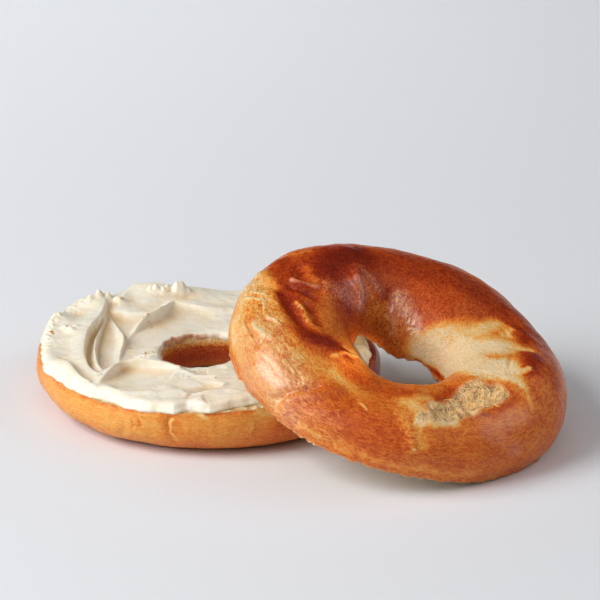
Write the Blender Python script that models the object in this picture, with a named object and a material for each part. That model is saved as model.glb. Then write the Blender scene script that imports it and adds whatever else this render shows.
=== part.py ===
"""A sliced bagel with cream cheese.

The lower half lies on its crust, with the cheese spread over its cut face.
The upper half leans on it: one side of its cut rim rests on the table, the
opposite side on the cheese.

Metres, Z up. The origin is on the table, under the middle of both halves taken
together. X runs to the right and Y away from the viewer.
"""

import math

import bmesh
import bpy
import numpy as np
from mathutils import Matrix, Vector, noise

MM = 0.001
TOUCH_GAP = 0.3 * MM

# Lower half: outer radius, hole, height of the cut face, widest height, roundness of the section
LOWER_RADIUS = 56.0 * MM
LOWER_HOLE = 16.1 * MM
LOWER_HEIGHT = 15.3 * MM
LOWER_WAIST = 10.4 * MM
LOWER_BELLY = 10.8 * MM
LOWER_FULLNESS = 2.3
LOWER_RIM_DRAW = 0.9 * MM
LOWER_WALL_SHARE = 0.12
LOWER_LUMPS = 0.5 * MM

# Where the middle of the lower half lies on the table
LOWER_X = -29.2 * MM
LOWER_Y = 15.1 * MM

# Upper half: outer radius, hole, crown height over its cut face, and where the crown lies
UPPER_RADIUS = 54.3 * MM
UPPER_HOLE = 16.5 * MM
UPPER_HEIGHT = 20.1 * MM
UPPER_WAIST = 8.0 * MM
UPPER_CROWN = 0.51
UPPER_FULLNESS = 2.1
UPPER_RIM_DRAW = 1.6 * MM
UPPER_HOLE_DRAW = 1.4 * MM
UPPER_WALL_SHARE = 0.11
UPPER_LUMPS = 0.8 * MM
UPPER_CUT_LUMPS = 0.4 * MM

# Where the upper half leans, which way it slopes down, and how much
UPPER_X = 30.5 * MM
UPPER_Y = -16.0 * MM
UPPER_SLOPE = math.radians(19.0)
UPPER_DOWNHILL = math.radians(-40.4)

# Hand-shaped dough isn't round: slow waves round the ring, each (order, cosine part, sine part)
LOWER_OUTLINE_WAVES = ((2, 0.002, -0.018), (3, -0.007, 0.002), (4, -0.005, -0.011))
LOWER_HOLE_WAVES = ((1, 0.061, -0.113), (2, -0.024, 0.053), (3, 0.006, 0.034))
LOWER_HEIGHT_WAVES = ((1, 0.015, -0.070), (2, 0.024, -0.055))
UPPER_OUTLINE_WAVES = (
    (1, 0.006, 0.014),
    (2, -0.003, -0.006),
    (3, -0.011, -0.003),
    (4, 0.009, -0.012),
)
UPPER_HOLE_WAVES = (
    (1, -0.041, -0.063),
    (2, -0.047, -0.088),
    (3, 0.051, 0.030),
    (4, 0.026, 0.001),
    (5, -0.004, -0.027),
)
UPPER_HEIGHT_WAVES = (
    (1, 0.036, 0.084),
    (2, 0.046, -0.030),
    (3, -0.016, -0.086),
    (4, 0.046, 0.003),
)
UPPER_CUT_WAVES = (
    (2, -0.3 * MM, -0.7 * MM),
    (3, 0.6 * MM, 1.0 * MM),
    (4, -0.7 * MM, -0.3 * MM),
    (5, 0.2 * MM, -0.7 * MM),
)

# Folds in the upper crust, each a path of (degrees round the ring, share of the way over
# the crust from the outer rim to the hole), its height (below 0, a groove) and half width
UPPER_FOLDS = (
    # the pinched seam where the ends of the dough were joined
    (((168, 0.30), (171, 0.43), (178, 0.47), (186, 0.50), (196, 0.51)), -2.2 * MM, 2.4 * MM),
    (((172, 0.48), (177, 0.53), (184, 0.56), (196, 0.60)), 1.5 * MM, 2.0 * MM),
    (((166, 0.20), (174, 0.31), (183, 0.35), (196, 0.40)), 0.9 * MM, 1.8 * MM),
    (((150, 0.42), (157, 0.48), (160, 0.56)), -1.4 * MM, 2.2 * MM),
    # the crease across the near left side, with its raised lip
    (((222, 0.10), (226, 0.21), (230, 0.31), (236, 0.42)), -1.2 * MM, 1.7 * MM),
    (((228, 0.08), (232, 0.21), (236, 0.31), (241, 0.41)), 0.7 * MM, 2.2 * MM),
    # the brow over the hole at the near right, and the crumpled hollow before it
    (((282, 0.66), (300, 0.66), (314, 0.60), (326, 0.53)), 1.8 * MM, 3.0 * MM),
    (((278, 0.44), (292, 0.47), (306, 0.50), (318, 0.48)), -1.3 * MM, 2.6 * MM),
    # lobes of the wall round the hole
    (((106, 1.00), (110, 0.88), (110, 0.80), (103, 0.70)), -1.3 * MM, 2.6 * MM),
    (((150, 0.98), (146, 0.80), (141, 0.62)), 0.9 * MM, 3.0 * MM),
    (((165, 0.96), (163, 0.80), (160, 0.66)), -0.9 * MM, 2.4 * MM),
)

# Broad swellings and dents of the upper crust: (degrees, share), height, half width
UPPER_SWELLINGS = (
    ((209, 0.24), 1.2 * MM, 11.0 * MM),
    ((330, 0.15), 1.0 * MM, 12.0 * MM),
    ((352, 0.36), 0.8 * MM, 9.0 * MM),
    ((8, 0.66), -0.8 * MM, 10.0 * MM),
    ((255, 0.50), -0.5 * MM, 8.0 * MM),
)

# Folds and a crack in the lower crust, read the same way, from the cut rim over the base
LOWER_FOLDS = (
    (((261, 0.02), (260, 0.08), (262, 0.15), (265, 0.24)), -0.7 * MM, 1.5 * MM),
    (((240, 0.05), (243, 0.14), (241, 0.22)), -0.4 * MM, 1.6 * MM),
    (((150, 0.04), (152, 0.16), (148, 0.24)), -0.5 * MM, 1.6 * MM),
    (((60, 0.03), (58, 0.12), (62, 0.22)), -0.6 * MM, 1.7 * MM),
)

# How far the cheese's edge stays inside the cut rim, by degrees round the ring
SPREAD_INSETS = (
    (-180, 0.6),
    (-171, 0.0),
    (-162, -0.8),
    (-151, 0.4),
    (-133, 1.1),
    (-125, 2.3),
    (-119, 0.6),
    (-100, 0.2),
    (-96, 4.2),
    (-91, 1.8),
    (-88, 0.2),
    (-81, 3.0),
    (-72, 3.9),
    (-50, 2.0),
    (0, 2.0),
    (60, 1.2),
    (108, 0.2),
    (125, -0.6),
    (150, -1.0),
    (165, 0.4),
)
SPREAD_HOLE_INSET = 0.5 * MM
SPREAD_THICKNESS = 3.3 * MM
SPREAD_EDGE = 0.7 * MM

# How far in the cheese rounds off, at its outer edge and round the hole
SPREAD_ROUNDING = 2.6 * MM
SPREAD_HOLE_ROUNDING = 5.0 * MM

# Room between the pressed cheese and the upper half's uneven cut face
SPREAD_ROOM = 0.8 * MM

# Heaps of cheese: place on the cut face in millimetres, height, half width
SPREAD_HEAPS = (
    ((-22, 50), 3.8 * MM, 9.0 * MM),
    ((-38, 36), 2.7 * MM, 9.0 * MM),
    ((-50, 18), 2.3 * MM, 8.0 * MM),
    ((-8, 52), 1.2 * MM, 8.0 * MM),
    ((-10, 52), 3.6 * MM, 2.4 * MM),
    ((-46, -24), 1.1 * MM, 8.0 * MM),
    ((-46, 13), 0.9 * MM, 2.2 * MM),
)

# Knife strokes, in millimetres on the cut face: path, height, half width. A hollow is where
# the blade went, and a ridge is the cheese that it pushed aside
SPREAD_STROKES = (
    (((-32, 27), (-32, 8), (-32, -8), (-31, -18)), -1.9 * MM, 3.4 * MM),
    (((-36, 34), (-36, 15), (-36, -3), (-34, -18)), 1.7 * MM, 1.6 * MM),
    (((-34, 33), (-30.5, 24), (-28, 10), (-28, -3), (-31, -20)), 1.6 * MM, 1.6 * MM),
    (((-40, 21), (-40, 6), (-40, -7), (-38, -17)), 1.2 * MM, 2.0 * MM),
    (((-22, -2), (-18, 12), (-9, 24), (3, 33), (16, 36)), -1.6 * MM, 5.5 * MM),
    (((-28, 7), (-25, 18), (-19, 30), (-12, 43)), 1.8 * MM, 1.8 * MM),
    (((-29, -31), (-20, -29), (-8, -33), (4, -39)), -1.2 * MM, 5.0 * MM),
    (((-32, -36), (-31, -25), (-26, -17), (-15, -16)), 1.4 * MM, 1.6 * MM),
    (((-32, -37), (-24, -43), (-11, -42)), 0.9 * MM, 1.6 * MM),
    (((-9, -23), (-4, -31), (8, -31)), -0.9 * MM, 2.4 * MM),
    (((-1, -57), (0, -45)), 0.9 * MM, 1.8 * MM),
    (((-50, -14), (-43, -24), (-37, -33)), -1.1 * MM, 2.4 * MM),
)

# Grain of the lumps in the crust and in the cut face, and how near a rim they fade
CRUST_GRAIN = 14.0 * MM
CUT_GRAIN = 9.0 * MM
RIM_FADE_SHARE = 0.04
RIM_RELIEF = 0.25

# Mesh: steps round each ring, across its crust or upper side, and across its flat side
UPPER_STEPS = (96, 27, 6)
LOWER_STEPS = (72, 14, 4)
SPREAD_STEPS = (100, 18, 4)
SHARP_ANGLE = math.radians(50.0)


def waves(angle, terms):
    """Sum of the slow waves round a ring."""
    return sum(c * np.cos(k * angle) + s * np.sin(k * angle) for k, c, s in terms)


def rounded_arch(turn, inner, outer, rise, fullness):
    """Offsets along and up of a full arch, as the turn goes from the outer foot to the inner."""
    along, up = np.cos(turn), np.sin(turn)
    scale = (np.abs(along) ** fullness + np.abs(up) ** fullness) ** (-1.0 / fullness)
    reach = np.where(along > 0.0, outer, inner)
    return reach * along * scale, rise * up * scale


def ring_points(angle, radius, height):
    """Points of a ring from polar values."""
    return np.stack([radius * np.cos(angle), radius * np.sin(angle), height], -1)


def upper_crust(angle, share):
    """Crust of the upper half: 0 is its outer cut rim, 1 the rim of its hole."""
    outer = UPPER_RADIUS * (1.0 + waves(angle, UPPER_OUTLINE_WAVES))
    hole = UPPER_HOLE * (1.0 + waves(angle, UPPER_HOLE_WAVES))
    crown = hole + (outer - hole) * UPPER_CROWN
    rise = UPPER_HEIGHT * (1.0 + waves(angle, UPPER_HEIGHT_WAVES)) - UPPER_WAIST
    wall = UPPER_WALL_SHARE
    turn = math.pi * np.clip((share - wall) / (1.0 - 2.0 * wall), 0.0, 1.0)
    along, up = rounded_arch(turn, crown - hole, outer - crown, rise, UPPER_FULLNESS)
    down_outer = np.clip(1.0 - share / wall, 0.0, 1.0)
    down_inner = np.clip(1.0 - (1.0 - share) / wall, 0.0, 1.0)
    radius = crown + along
    radius = radius - UPPER_RIM_DRAW * down_outer**2 + UPPER_HOLE_DRAW * down_inner**2
    height = up + UPPER_WAIST * (1.0 - down_outer - down_inner)
    return ring_points(angle, radius, height + waves(angle, UPPER_CUT_WAVES))


def lower_rim(angle):
    """Outer radius, hole radius and height of the lower half's cut face."""
    outer = LOWER_RADIUS * (1.0 + waves(angle, LOWER_OUTLINE_WAVES)) - LOWER_RIM_DRAW
    hole = LOWER_HOLE * (1.0 + waves(angle, LOWER_HOLE_WAVES)) + LOWER_RIM_DRAW
    return outer, hole, LOWER_HEIGHT * (1.0 + waves(angle, LOWER_HEIGHT_WAVES))


def lower_crust(angle, share):
    """Crust of the lower half: 0 is its outer cut rim, 1 the rim of its hole. It is flat below."""
    rim_outer, rim_hole, cut = lower_rim(angle)
    outer, hole = rim_outer + LOWER_RIM_DRAW, rim_hole - LOWER_RIM_DRAW
    middle = (outer + hole) / 2.0
    wall = LOWER_WALL_SHARE
    turn = math.pi * np.clip((share - wall) / (1.0 - 2.0 * wall), 0.0, 1.0)
    along, down = rounded_arch(turn, middle - hole, outer - middle, LOWER_BELLY, LOWER_FULLNESS)
    up_outer = np.clip(1.0 - share / wall, 0.0, 1.0)
    up_inner = np.clip(1.0 - (1.0 - share) / wall, 0.0, 1.0)
    radius = middle + along - LOWER_RIM_DRAW * up_outer**2 + LOWER_RIM_DRAW * up_inner**2
    height = LOWER_WAIST - down + (cut - LOWER_WAIST) * (up_outer + up_inner)
    return ring_points(angle, radius, np.maximum(height, 0.0))


def distance_to_path(points, path):
    """Distance of each point from a bent path."""
    nearest = np.full(points.shape[:-1], np.inf)
    for start, end in zip(path, path[1:]):
        step = end - start
        place = np.clip(((points - start) @ step) / (step @ step), 0.0, 1.0)
        gap = np.linalg.norm(points - start - place[..., None] * step, axis=-1)
        nearest = np.minimum(nearest, gap)
    return nearest


def bump(distance, half_width):
    """Smooth hump: 1 on the line, fading out past its half width."""
    return np.exp(-((distance / half_width) ** 2))


def lumps(points, size, height):
    """Uneven dough: smooth noise of this grain."""
    flat = points.reshape(-1, 3)
    values = [noise.noise(Vector(point) / size) for point in flat]
    return height * np.array(values).reshape(points.shape[:-1])


def outward(points):
    """Unit normals of a crust's grid. At its outer rim they face away from the middle."""
    round_ring = np.roll(points, -1, 0) - np.roll(points, 1, 0)
    across = np.gradient(points, axis=1)
    normal = np.cross(round_ring, across)
    away = np.sum(normal[:, 0, :2] * points[:, 0, :2])
    return np.sign(away) * normal / np.linalg.norm(normal, axis=-1, keepdims=True)


def crust_relief(crust, points, folds, swellings):
    """Depth of the folds and swellings at each point of a crust."""
    relief = np.zeros(points.shape[:-1])
    for path, height, half_width in folds:
        degrees, shares = np.array(path).T
        line = crust(np.radians(degrees), shares)
        relief += height * bump(distance_to_path(points, line), half_width)
    for (degrees, share), height, half_width in swellings:
        centre = crust(np.radians(degrees), share)
        relief += height * bump(np.linalg.norm(points - centre, axis=-1), half_width)
    return relief


def grid(steps_round, shares):
    """Angles and shares of every point of a ring's grid."""
    angle = np.linspace(0.0, 2.0 * math.pi, steps_round, endpoint=False)
    return np.meshgrid(angle, shares, indexing="ij")


def ring_solid(name, rings, material):
    """Closed solid from the loops of points round a ring's section."""
    mesh = bmesh.new()
    count, across = rings.shape[:2]
    verts = [[mesh.verts.new(point) for point in loop] for loop in rings]
    for i in range(count):
        here, there = verts[i], verts[(i + 1) % count]
        for j in range(across):
            k = (j + 1) % across
            mesh.faces.new((here[j], there[j], there[k], here[k]))
    bmesh.ops.recalc_face_normals(mesh, faces=mesh.faces)
    data = bpy.data.meshes.new(name)
    mesh.to_mesh(data)
    mesh.free()
    data.materials.append(material)
    data.shade_smooth()
    data.set_sharp_from_angle(angle=SHARP_ANGLE)
    obj = bpy.data.objects.new(name, data)
    bpy.context.scene.collection.objects.link(obj)
    return obj


def crusted_half(crust, steps, folds, swellings, lump_height, rim_relief):
    """Loops of a half bagel: its crust with folds and lumps, then its nearly flat cut face."""
    steps_round, steps_crust, steps_cut = steps
    angle, share = grid(steps_round, np.linspace(0.0, 1.0, steps_crust))
    points = crust(angle, share)
    relief = crust_relief(crust, points, folds, swellings)
    relief += lumps(points, CRUST_GRAIN, lump_height)
    to_rim = np.minimum(share, 1.0 - share)
    relief *= np.clip(to_rim / RIM_FADE_SHARE, rim_relief, 1.0)
    moved = points + outward(points) * relief[..., None]
    hole_rim, outer_rim = moved[:, -1:], moved[:, :1]
    inward = np.linspace(0.0, 1.0, steps_cut)[None, 1:-1, None]
    cut = hole_rim + (outer_rim - hole_rim) * inward
    return points, moved, cut


def lower_half(material):
    """Lower half: its base stays flat on the table, and its cut rim even under the cheese."""
    plain, crust, cut = crusted_half(
        lower_crust, LOWER_STEPS, LOWER_FOLDS, (), LOWER_LUMPS, 0.0
    )
    crust[..., 2] = np.where(plain[..., 2] > 0.0, np.maximum(crust[..., 2], 0.0), 0.0)
    obj = ring_solid("bagel_lower_half", np.concatenate([crust, cut], 1), material)
    obj.location = (LOWER_X, LOWER_Y, 0.0)
    return obj


def upper_pose():
    """Turn of the upper half, from lying flat to leaning downhill."""
    axis = Vector((-math.sin(UPPER_DOWNHILL), math.cos(UPPER_DOWNHILL), 0.0))
    return Matrix.Rotation(UPPER_SLOPE, 4, axis)


def upper_half(material):
    """Upper half, leaned over and set down on the table."""
    _, crust, cut = crusted_half(
        upper_crust, UPPER_STEPS, UPPER_FOLDS, UPPER_SWELLINGS, UPPER_LUMPS, RIM_RELIEF
    )
    cut[..., 2] += lumps(cut, CUT_GRAIN, UPPER_CUT_LUMPS)
    obj = ring_solid("bagel_upper_half", np.concatenate([crust, cut], 1), material)
    pose = upper_pose()
    lowest = min((pose @ vertex.co).z for vertex in obj.data.vertices)
    obj.rotation_euler = pose.to_euler()
    obj.location = (UPPER_X, UPPER_Y, -lowest)
    return obj


def spread_height(x, y):
    """Thickness of the cheese over the cut face, with the heaps and the knife's strokes."""
    place = np.stack([x, y], -1)
    thickness = np.full(x.shape, SPREAD_THICKNESS)
    for centre, height, half_width in SPREAD_HEAPS:
        gap = np.linalg.norm(place - np.array(centre) * MM, axis=-1)
        thickness += height * bump(gap, half_width)
    for path, height, half_width in SPREAD_STROKES:
        line = [np.array(corner) * MM for corner in path]
        thickness += height * bump(distance_to_path(place, line), half_width)
    return thickness


def underside(x, y, upper):
    """Height just under the leaning half's cut face, over each place on the lower half."""
    side, forward, normal = np.array(upper.matrix_basis)[:3, :3].T
    offset_x = x + LOWER_X - UPPER_X
    offset_y = y + LOWER_Y - UPPER_Y
    rise = -(offset_x * normal[0] + offset_y * normal[1]) / normal[2]
    place = np.stack([offset_x, offset_y, rise], -1)
    angle = np.arctan2(place @ forward, place @ side)
    uneven = waves(angle, UPPER_CUT_WAVES) / normal[2]
    return upper.location.z + rise + uneven - SPREAD_ROOM


def spread(material, upper):
    """Cheese over the cut face, pressed down where the upper half lies on it."""
    steps_round, steps_top, steps_base = SPREAD_STEPS
    angle, share = grid(steps_round, np.linspace(1.0, 0.0, steps_top))
    degrees, insets = np.array(SPREAD_INSETS).T
    inset = np.interp(np.degrees(angle), degrees, insets, period=360.0) * MM
    rim_outer, rim_hole, cut = lower_rim(angle)
    outer, hole = rim_outer - inset, rim_hole + SPREAD_HOLE_INSET
    radius = hole + (outer - hole) * share
    to_edge = np.minimum(
        (outer - radius) / SPREAD_ROUNDING,
        (radius - hole) / SPREAD_HOLE_ROUNDING,
    )
    rounding = np.sqrt(1.0 - np.clip(1.0 - to_edge, 0.0, 1.0) ** 2)
    x, y = radius * np.cos(angle), radius * np.sin(angle)
    base = cut + TOUCH_GAP
    top = base + SPREAD_EDGE + (spread_height(x, y) - SPREAD_EDGE) * rounding
    top = np.maximum(np.minimum(top, underside(x, y, upper)), base + SPREAD_EDGE)
    upper_side = np.stack([x, y, top], -1)
    base_share = np.linspace(0.0, 1.0, steps_base)[None, :]
    base_radius = hole[:, :1] + (outer - hole)[:, :1] * base_share
    base_height = base[:, :1] + 0.0 * base_share
    lower_side = ring_points(angle[:, :1], base_radius, base_height)
    rings = np.concatenate([upper_side, lower_side], 1)
    obj = ring_solid("cream_cheese", rings, material)
    obj.location = (LOWER_X, LOWER_Y, 0.0)
    return obj


def finish(name, colour, roughness):
    """Plain material in the photographed colour."""
    material = bpy.data.materials.new(name)
    material.use_nodes = True
    shader = material.node_tree.nodes["Principled BSDF"]
    shader.inputs["Base Color"].default_value = (*colour, 1.0)
    shader.inputs["Roughness"].default_value = roughness
    shader.inputs["Metallic"].default_value = 0.0
    material.diffuse_color = (*colour, 1.0)
    return material


for unwanted in list(bpy.data.objects):
    bpy.data.objects.remove(unwanted, do_unlink=True)

bottom_crust = finish("bottom crust", (0.62, 0.30, 0.09), 0.45)
top_crust = finish("top crust", (0.45, 0.15, 0.04), 0.30)
soft_cheese = finish("cream cheese", (0.90, 0.86, 0.72), 0.40)
lower_half(bottom_crust)
leaning_half = upper_half(top_crust)
bpy.context.view_layer.update()
spread(soft_cheese, leaning_half)
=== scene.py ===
"""A sliced bagel with cream cheese. The lower half lies on its crust under a thick spread,
and the upper half leans on it."""

import math

import bpy
import numpy as np
from mathutils import Matrix, Vector, noise


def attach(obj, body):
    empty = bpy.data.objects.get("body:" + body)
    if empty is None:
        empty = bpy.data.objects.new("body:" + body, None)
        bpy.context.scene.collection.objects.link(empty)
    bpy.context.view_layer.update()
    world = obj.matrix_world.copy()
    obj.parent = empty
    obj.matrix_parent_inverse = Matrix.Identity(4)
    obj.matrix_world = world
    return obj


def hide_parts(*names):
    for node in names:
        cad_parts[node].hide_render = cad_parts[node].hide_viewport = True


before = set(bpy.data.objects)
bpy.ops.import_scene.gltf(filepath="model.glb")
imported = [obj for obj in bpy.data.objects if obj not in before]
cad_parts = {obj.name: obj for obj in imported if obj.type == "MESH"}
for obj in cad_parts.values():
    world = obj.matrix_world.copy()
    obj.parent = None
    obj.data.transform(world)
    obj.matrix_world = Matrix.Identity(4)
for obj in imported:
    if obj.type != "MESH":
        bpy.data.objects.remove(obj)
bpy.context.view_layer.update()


# Lower half of the bagel
# The bottom of a boiled and baked ring of dough, with a thin golden crust that is flat where
# it lay on the baking board. A saw knife cut it level, which left a slightly ragged rim.

MM = 0.001
LOWER_X = -29.2 * MM
LOWER_Y = 15.1 * MM
LOWER_RADIUS = 56.0 * MM
LOWER_HOLE = 16.1 * MM
LOWER_HEIGHT = 15.3 * MM
LOWER_WAIST = 10.4 * MM
LOWER_BELLY = 10.8 * MM
LOWER_FULLNESS = 2.3
LOWER_RIM_DRAW = 0.9 * MM
LOWER_WALL_SHARE = 0.12
LOWER_LUMPS = 0.5 * MM
LOWER_STEPS = (600, 96, 30)

# Slow waves round the ring, each (order, cosine part, sine part)
LOWER_OUTLINE_WAVES = ((2, 0.002, -0.018), (3, -0.007, 0.002), (4, -0.005, -0.011))
LOWER_HOLE_WAVES = ((1, 0.061, -0.113), (2, -0.024, 0.053), (3, 0.006, 0.034))
LOWER_HEIGHT_WAVES = ((1, 0.015, -0.070), (2, 0.024, -0.055))

# Folds and cracks: path of (degrees round the ring, share of the way over the crust), height,
# half width. Below 0 it is a groove
LOWER_FOLDS = (
    (((340, 0.07), (0, 0.07), (20, 0.07)), 0.9 * MM, 3.5 * MM),
    (((260, 0.02), (258, 0.08), (258, 0.15), (260, 0.24)), -0.5 * MM, 1.4 * MM),
    (((260, 0.02), (258, 0.08), (258, 0.15), (260, 0.24)), -0.5 * MM, 0.4 * MM),
    (((261, 0.03), (259.2, 0.08), (259.2, 0.15), (261, 0.23)), 0.35 * MM, 0.5 * MM),
    (((240, 0.05), (243, 0.14), (241, 0.22)), -0.4 * MM, 1.6 * MM),
    (((246, 0.08), (247, 0.12), (246, 0.15)), -0.4 * MM, 0.5 * MM),
    (((249, 0.07), (250, 0.12), (249, 0.14)), -0.3 * MM, 0.4 * MM),
    (((150, 0.04), (152, 0.16), (148, 0.24)), -0.5 * MM, 1.6 * MM),
    (((60, 0.03), (58, 0.12), (62, 0.22)), -0.6 * MM, 1.7 * MM),
    (((271, 0.01), (275, 0.03), (279, 0.02)), -0.5 * MM, 0.9 * MM),
    (((285, 0.05), (286, 0.10), (285, 0.15)), 0.3 * MM, 0.4 * MM),
)

# How baked the crust is, from 0, pale, over golden and orange to 1, nearly black, with two
# rows of painted shade: path, bake, half width and soft edge
LOWER_BAKE = (
    (((200, 0.10), (230, 0.12), (250, 0.12)), 0.36, 5.0 * MM, 5.0 * MM),
    (((295, 0.10), (320, 0.12), (340, 0.12)), 0.62, 9.0 * MM, 8.0 * MM),
    (((267, 0.07), (290, 0.08)), 0.42, 3.0 * MM, 3.0 * MM),
    # darker band low on the outer side near the table: partly the crust's own colour, partly painted
    # contact shadow
    (((180, 0.27), (225, 0.28), (270, 0.28), (320, 0.28)), 0.60, 2.0 * MM, 3.5 * MM),
    (((205, 0.01), (225, 0.01), (245, 0.01), (262, 0.01)), 0.56, 0.5 * MM, 1.2 * MM),
    (((261, 0.03), (259.2, 0.08), (259.2, 0.15), (261, 0.22)), 0.22, 0.3 * MM, 0.4 * MM),
    (((270, 0.005), (278, 0.012), (290, 0.005)), 0.66, 0.4 * MM, 0.9 * MM),
    (((269, 0.015), (270, 0.03), (271, 0.045)), 0.05, 0.5 * MM, 0.8 * MM),
    # darker crust just below the cut rim, under the leaning half: partly its own colour, partly painted
    # shade
    (((330, 0.06), (0, 0.05), (30, 0.06)), 0.78, 6.0 * MM, 5.0 * MM),
    (((287, 0.01), (293, 0.04)), 0.20, 0.8 * MM, 1.6 * MM),
    (((285, 0.04), (286, 0.08), (285, 0.13)), 0.28, 0.15 * MM, 0.35 * MM),
    (((246, 0.08), (247, 0.12), (246, 0.14)), 0.62, 0.3 * MM, 0.6 * MM),
    (((249, 0.07), (250, 0.12), (249, 0.13)), 0.60, 0.2 * MM, 0.5 * MM),
)


def waves(angle, terms):
    """Sum of the slow waves round a ring."""
    return sum(c * np.cos(k * angle) + s * np.sin(k * angle) for k, c, s in terms)


def rounded_arch(turn, inner, outer, rise, fullness):
    """Offsets along and up of a full arch, as the turn goes from the outer foot to the inner."""
    along, up = np.cos(turn), np.sin(turn)
    scale = (np.abs(along) ** fullness + np.abs(up) ** fullness) ** (-1.0 / fullness)
    reach = np.where(along > 0.0, outer, inner)
    return reach * along * scale, rise * up * scale


def ring_points(angle, radius, height):
    """Points of a ring from polar values."""
    return np.stack([radius * np.cos(angle), radius * np.sin(angle), height], -1)


def lower_rim(angle):
    """Outer radius, hole radius and height of the lower half's cut face."""
    outer = LOWER_RADIUS * (1.0 + waves(angle, LOWER_OUTLINE_WAVES)) - LOWER_RIM_DRAW
    hole = LOWER_HOLE * (1.0 + waves(angle, LOWER_HOLE_WAVES)) + LOWER_RIM_DRAW
    return outer, hole, LOWER_HEIGHT * (1.0 + waves(angle, LOWER_HEIGHT_WAVES))


def lower_crust(angle, share):
    """Crust of the lower half: 0 is its outer cut rim, 1 the rim of its hole. It is flat below."""
    rim_outer, rim_hole, cut = lower_rim(angle)
    outer, hole = rim_outer + LOWER_RIM_DRAW, rim_hole - LOWER_RIM_DRAW
    middle = (outer + hole) / 2.0
    wall = LOWER_WALL_SHARE
    turn = math.pi * np.clip((share - wall) / (1.0 - 2.0 * wall), 0.0, 1.0)
    along, down = rounded_arch(turn, middle - hole, outer - middle, LOWER_BELLY, LOWER_FULLNESS)
    up_outer = np.clip(1.0 - share / wall, 0.0, 1.0)
    up_inner = np.clip(1.0 - (1.0 - share) / wall, 0.0, 1.0)
    radius = middle + along - LOWER_RIM_DRAW * up_outer**2 + LOWER_RIM_DRAW * up_inner**2
    height = LOWER_WAIST - down + (cut - LOWER_WAIST) * (up_outer + up_inner)
    return ring_points(angle, radius, np.maximum(height, 0.0))


def distance_to_path(points, path):
    """Distance of each point from a bent path."""
    nearest = np.full(points.shape[:-1], np.inf)
    for start, end in zip(path, path[1:]):
        step = end - start
        place = np.clip(((points - start) @ step) / (step @ step), 0.0, 1.0)
        gap = np.linalg.norm(points - start - place[..., None] * step, axis=-1)
        nearest = np.minimum(nearest, gap)
    return nearest


def bump(distance, half_width):
    """Smooth hump: 1 on the line, fading out past its half width."""
    return np.exp(-((distance / half_width) ** 2))


def lumps(points, size, height):
    """Uneven dough: smooth noise of this grain."""
    places = (points / size).reshape(-1, 3).tolist()
    return height * np.array([noise.noise(place) for place in places]).reshape(points.shape[:-1])


def outward(points):
    """Unit normals of a crust's grid. At its outer rim they face away from the middle."""
    round_ring = np.roll(points, -1, 0) - np.roll(points, 1, 0)
    across = np.gradient(points, axis=1)
    normal = np.cross(round_ring, across)
    away = np.sum(normal[:, 0, :2] * points[:, 0, :2])
    return np.sign(away) * normal / np.linalg.norm(normal, axis=-1, keepdims=True)


# The wander of lines over the crusts is drawn from this seed, so it is the same in every run
WANDER_SEED = 2
noise.seed_set(WANDER_SEED)


def wandered(points, size, reach):
    """The points, each moved a little by smooth noise, so that lines over them wander."""
    places = (points / size).reshape(-1, 3).tolist()
    moves = np.array([noise.noise_vector(place) for place in places])
    return points + reach * moves.reshape(points.shape)


def fold_relief(crust, points, folds):
    """Height of the folds at each point of a crust. They wander and swell a little."""
    relief = np.zeros(points.shape[:-1])
    moved = wandered(wandered(points, 9.0 * MM, 1.2 * MM), 3.0 * MM, 0.5 * MM)
    swell = 1.0 + lumps(points, 6.0 * MM, 0.7)
    for path, height, half_width in folds:
        degrees, shares = np.array(path).T
        line = crust(np.radians(degrees), shares)
        wide = half_width > 2.0 * MM
        places = points if wide else moved
        size = 1.0 if wide else swell
        relief += height * size * bump(distance_to_path(places, line), half_width)
    return relief


def layered(crust, points, value, layers, ragged):
    """Value at each point once soft-edged layers are laid over it. Ragged is in edge widths."""
    most = 1.5 * MM
    moved = wandered(wandered(points, 9.0 * MM, 1.2 * MM), 3.0 * MM, 0.5 * MM)
    for path, goal, half_width, edge in layers:
        degrees, shares = np.array(path).T
        line = crust(np.radians(degrees), shares)
        gap = distance_to_path(moved, line) + ragged * min(edge, most)
        cover = np.clip((half_width + edge - gap) / (2.0 * edge), 0.0, 1.0)
        value = value + (goal - value) * cover * cover * (3.0 - 2.0 * cover)
    return value


def grid(steps_round, shares, near, closer):
    """Angles and shares of every point of a ring's grid, closer together towards one side."""
    even = np.linspace(0.0, 2.0 * math.pi, steps_round, endpoint=False)
    angle = even - closer * np.sin(even - math.radians(near))
    return np.meshgrid(angle, shares, indexing="ij")


def cut_between(crust, steps):
    """Loops of the cut face, from the hole's rim to the outer rim."""
    share = np.linspace(0.0, 1.0, steps)[None, 1:-1, None]
    return crust[:, -1:] + (crust[:, :1] - crust[:, -1:]) * share


def ring_piece(name, rings, inside_out, values):
    """Closed piece from the loops of points round a ring's section, with its named values."""
    count, across = rings.shape[:2]
    here = np.arange(count * across).reshape(count, across)
    there = np.roll(here, -1, 0)
    faces = np.stack([here, there, np.roll(there, -1, 1), np.roll(here, -1, 1)], -1)
    faces = faces.reshape(-1, 4)
    if inside_out:
        faces = faces[:, ::-1]
    data = bpy.data.meshes.new(name)
    data.from_pydata(rings.reshape(-1, 3).tolist(), [], faces.tolist())
    for key, value in values.items():
        if value.ndim == 3:
            layer = data.attributes.new(key, "FLOAT_VECTOR", "POINT")
            layer.data.foreach_set("vector", value.astype(np.float32).ravel())
        else:
            layer = data.attributes.new(key, "FLOAT", "POINT")
            layer.data.foreach_set("value", value.astype(np.float32).ravel())
    data.shade_smooth()
    piece = bpy.data.objects.new(name, data)
    bpy.context.scene.collection.objects.link(piece)
    return piece


def lie_of(angle, across):
    """Place on the crust for marks that run round the ring or over it."""
    reach = 45.0 * MM
    return np.stack([reach * np.cos(angle), reach * np.sin(angle), across + 0.0 * angle], -1)


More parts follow.
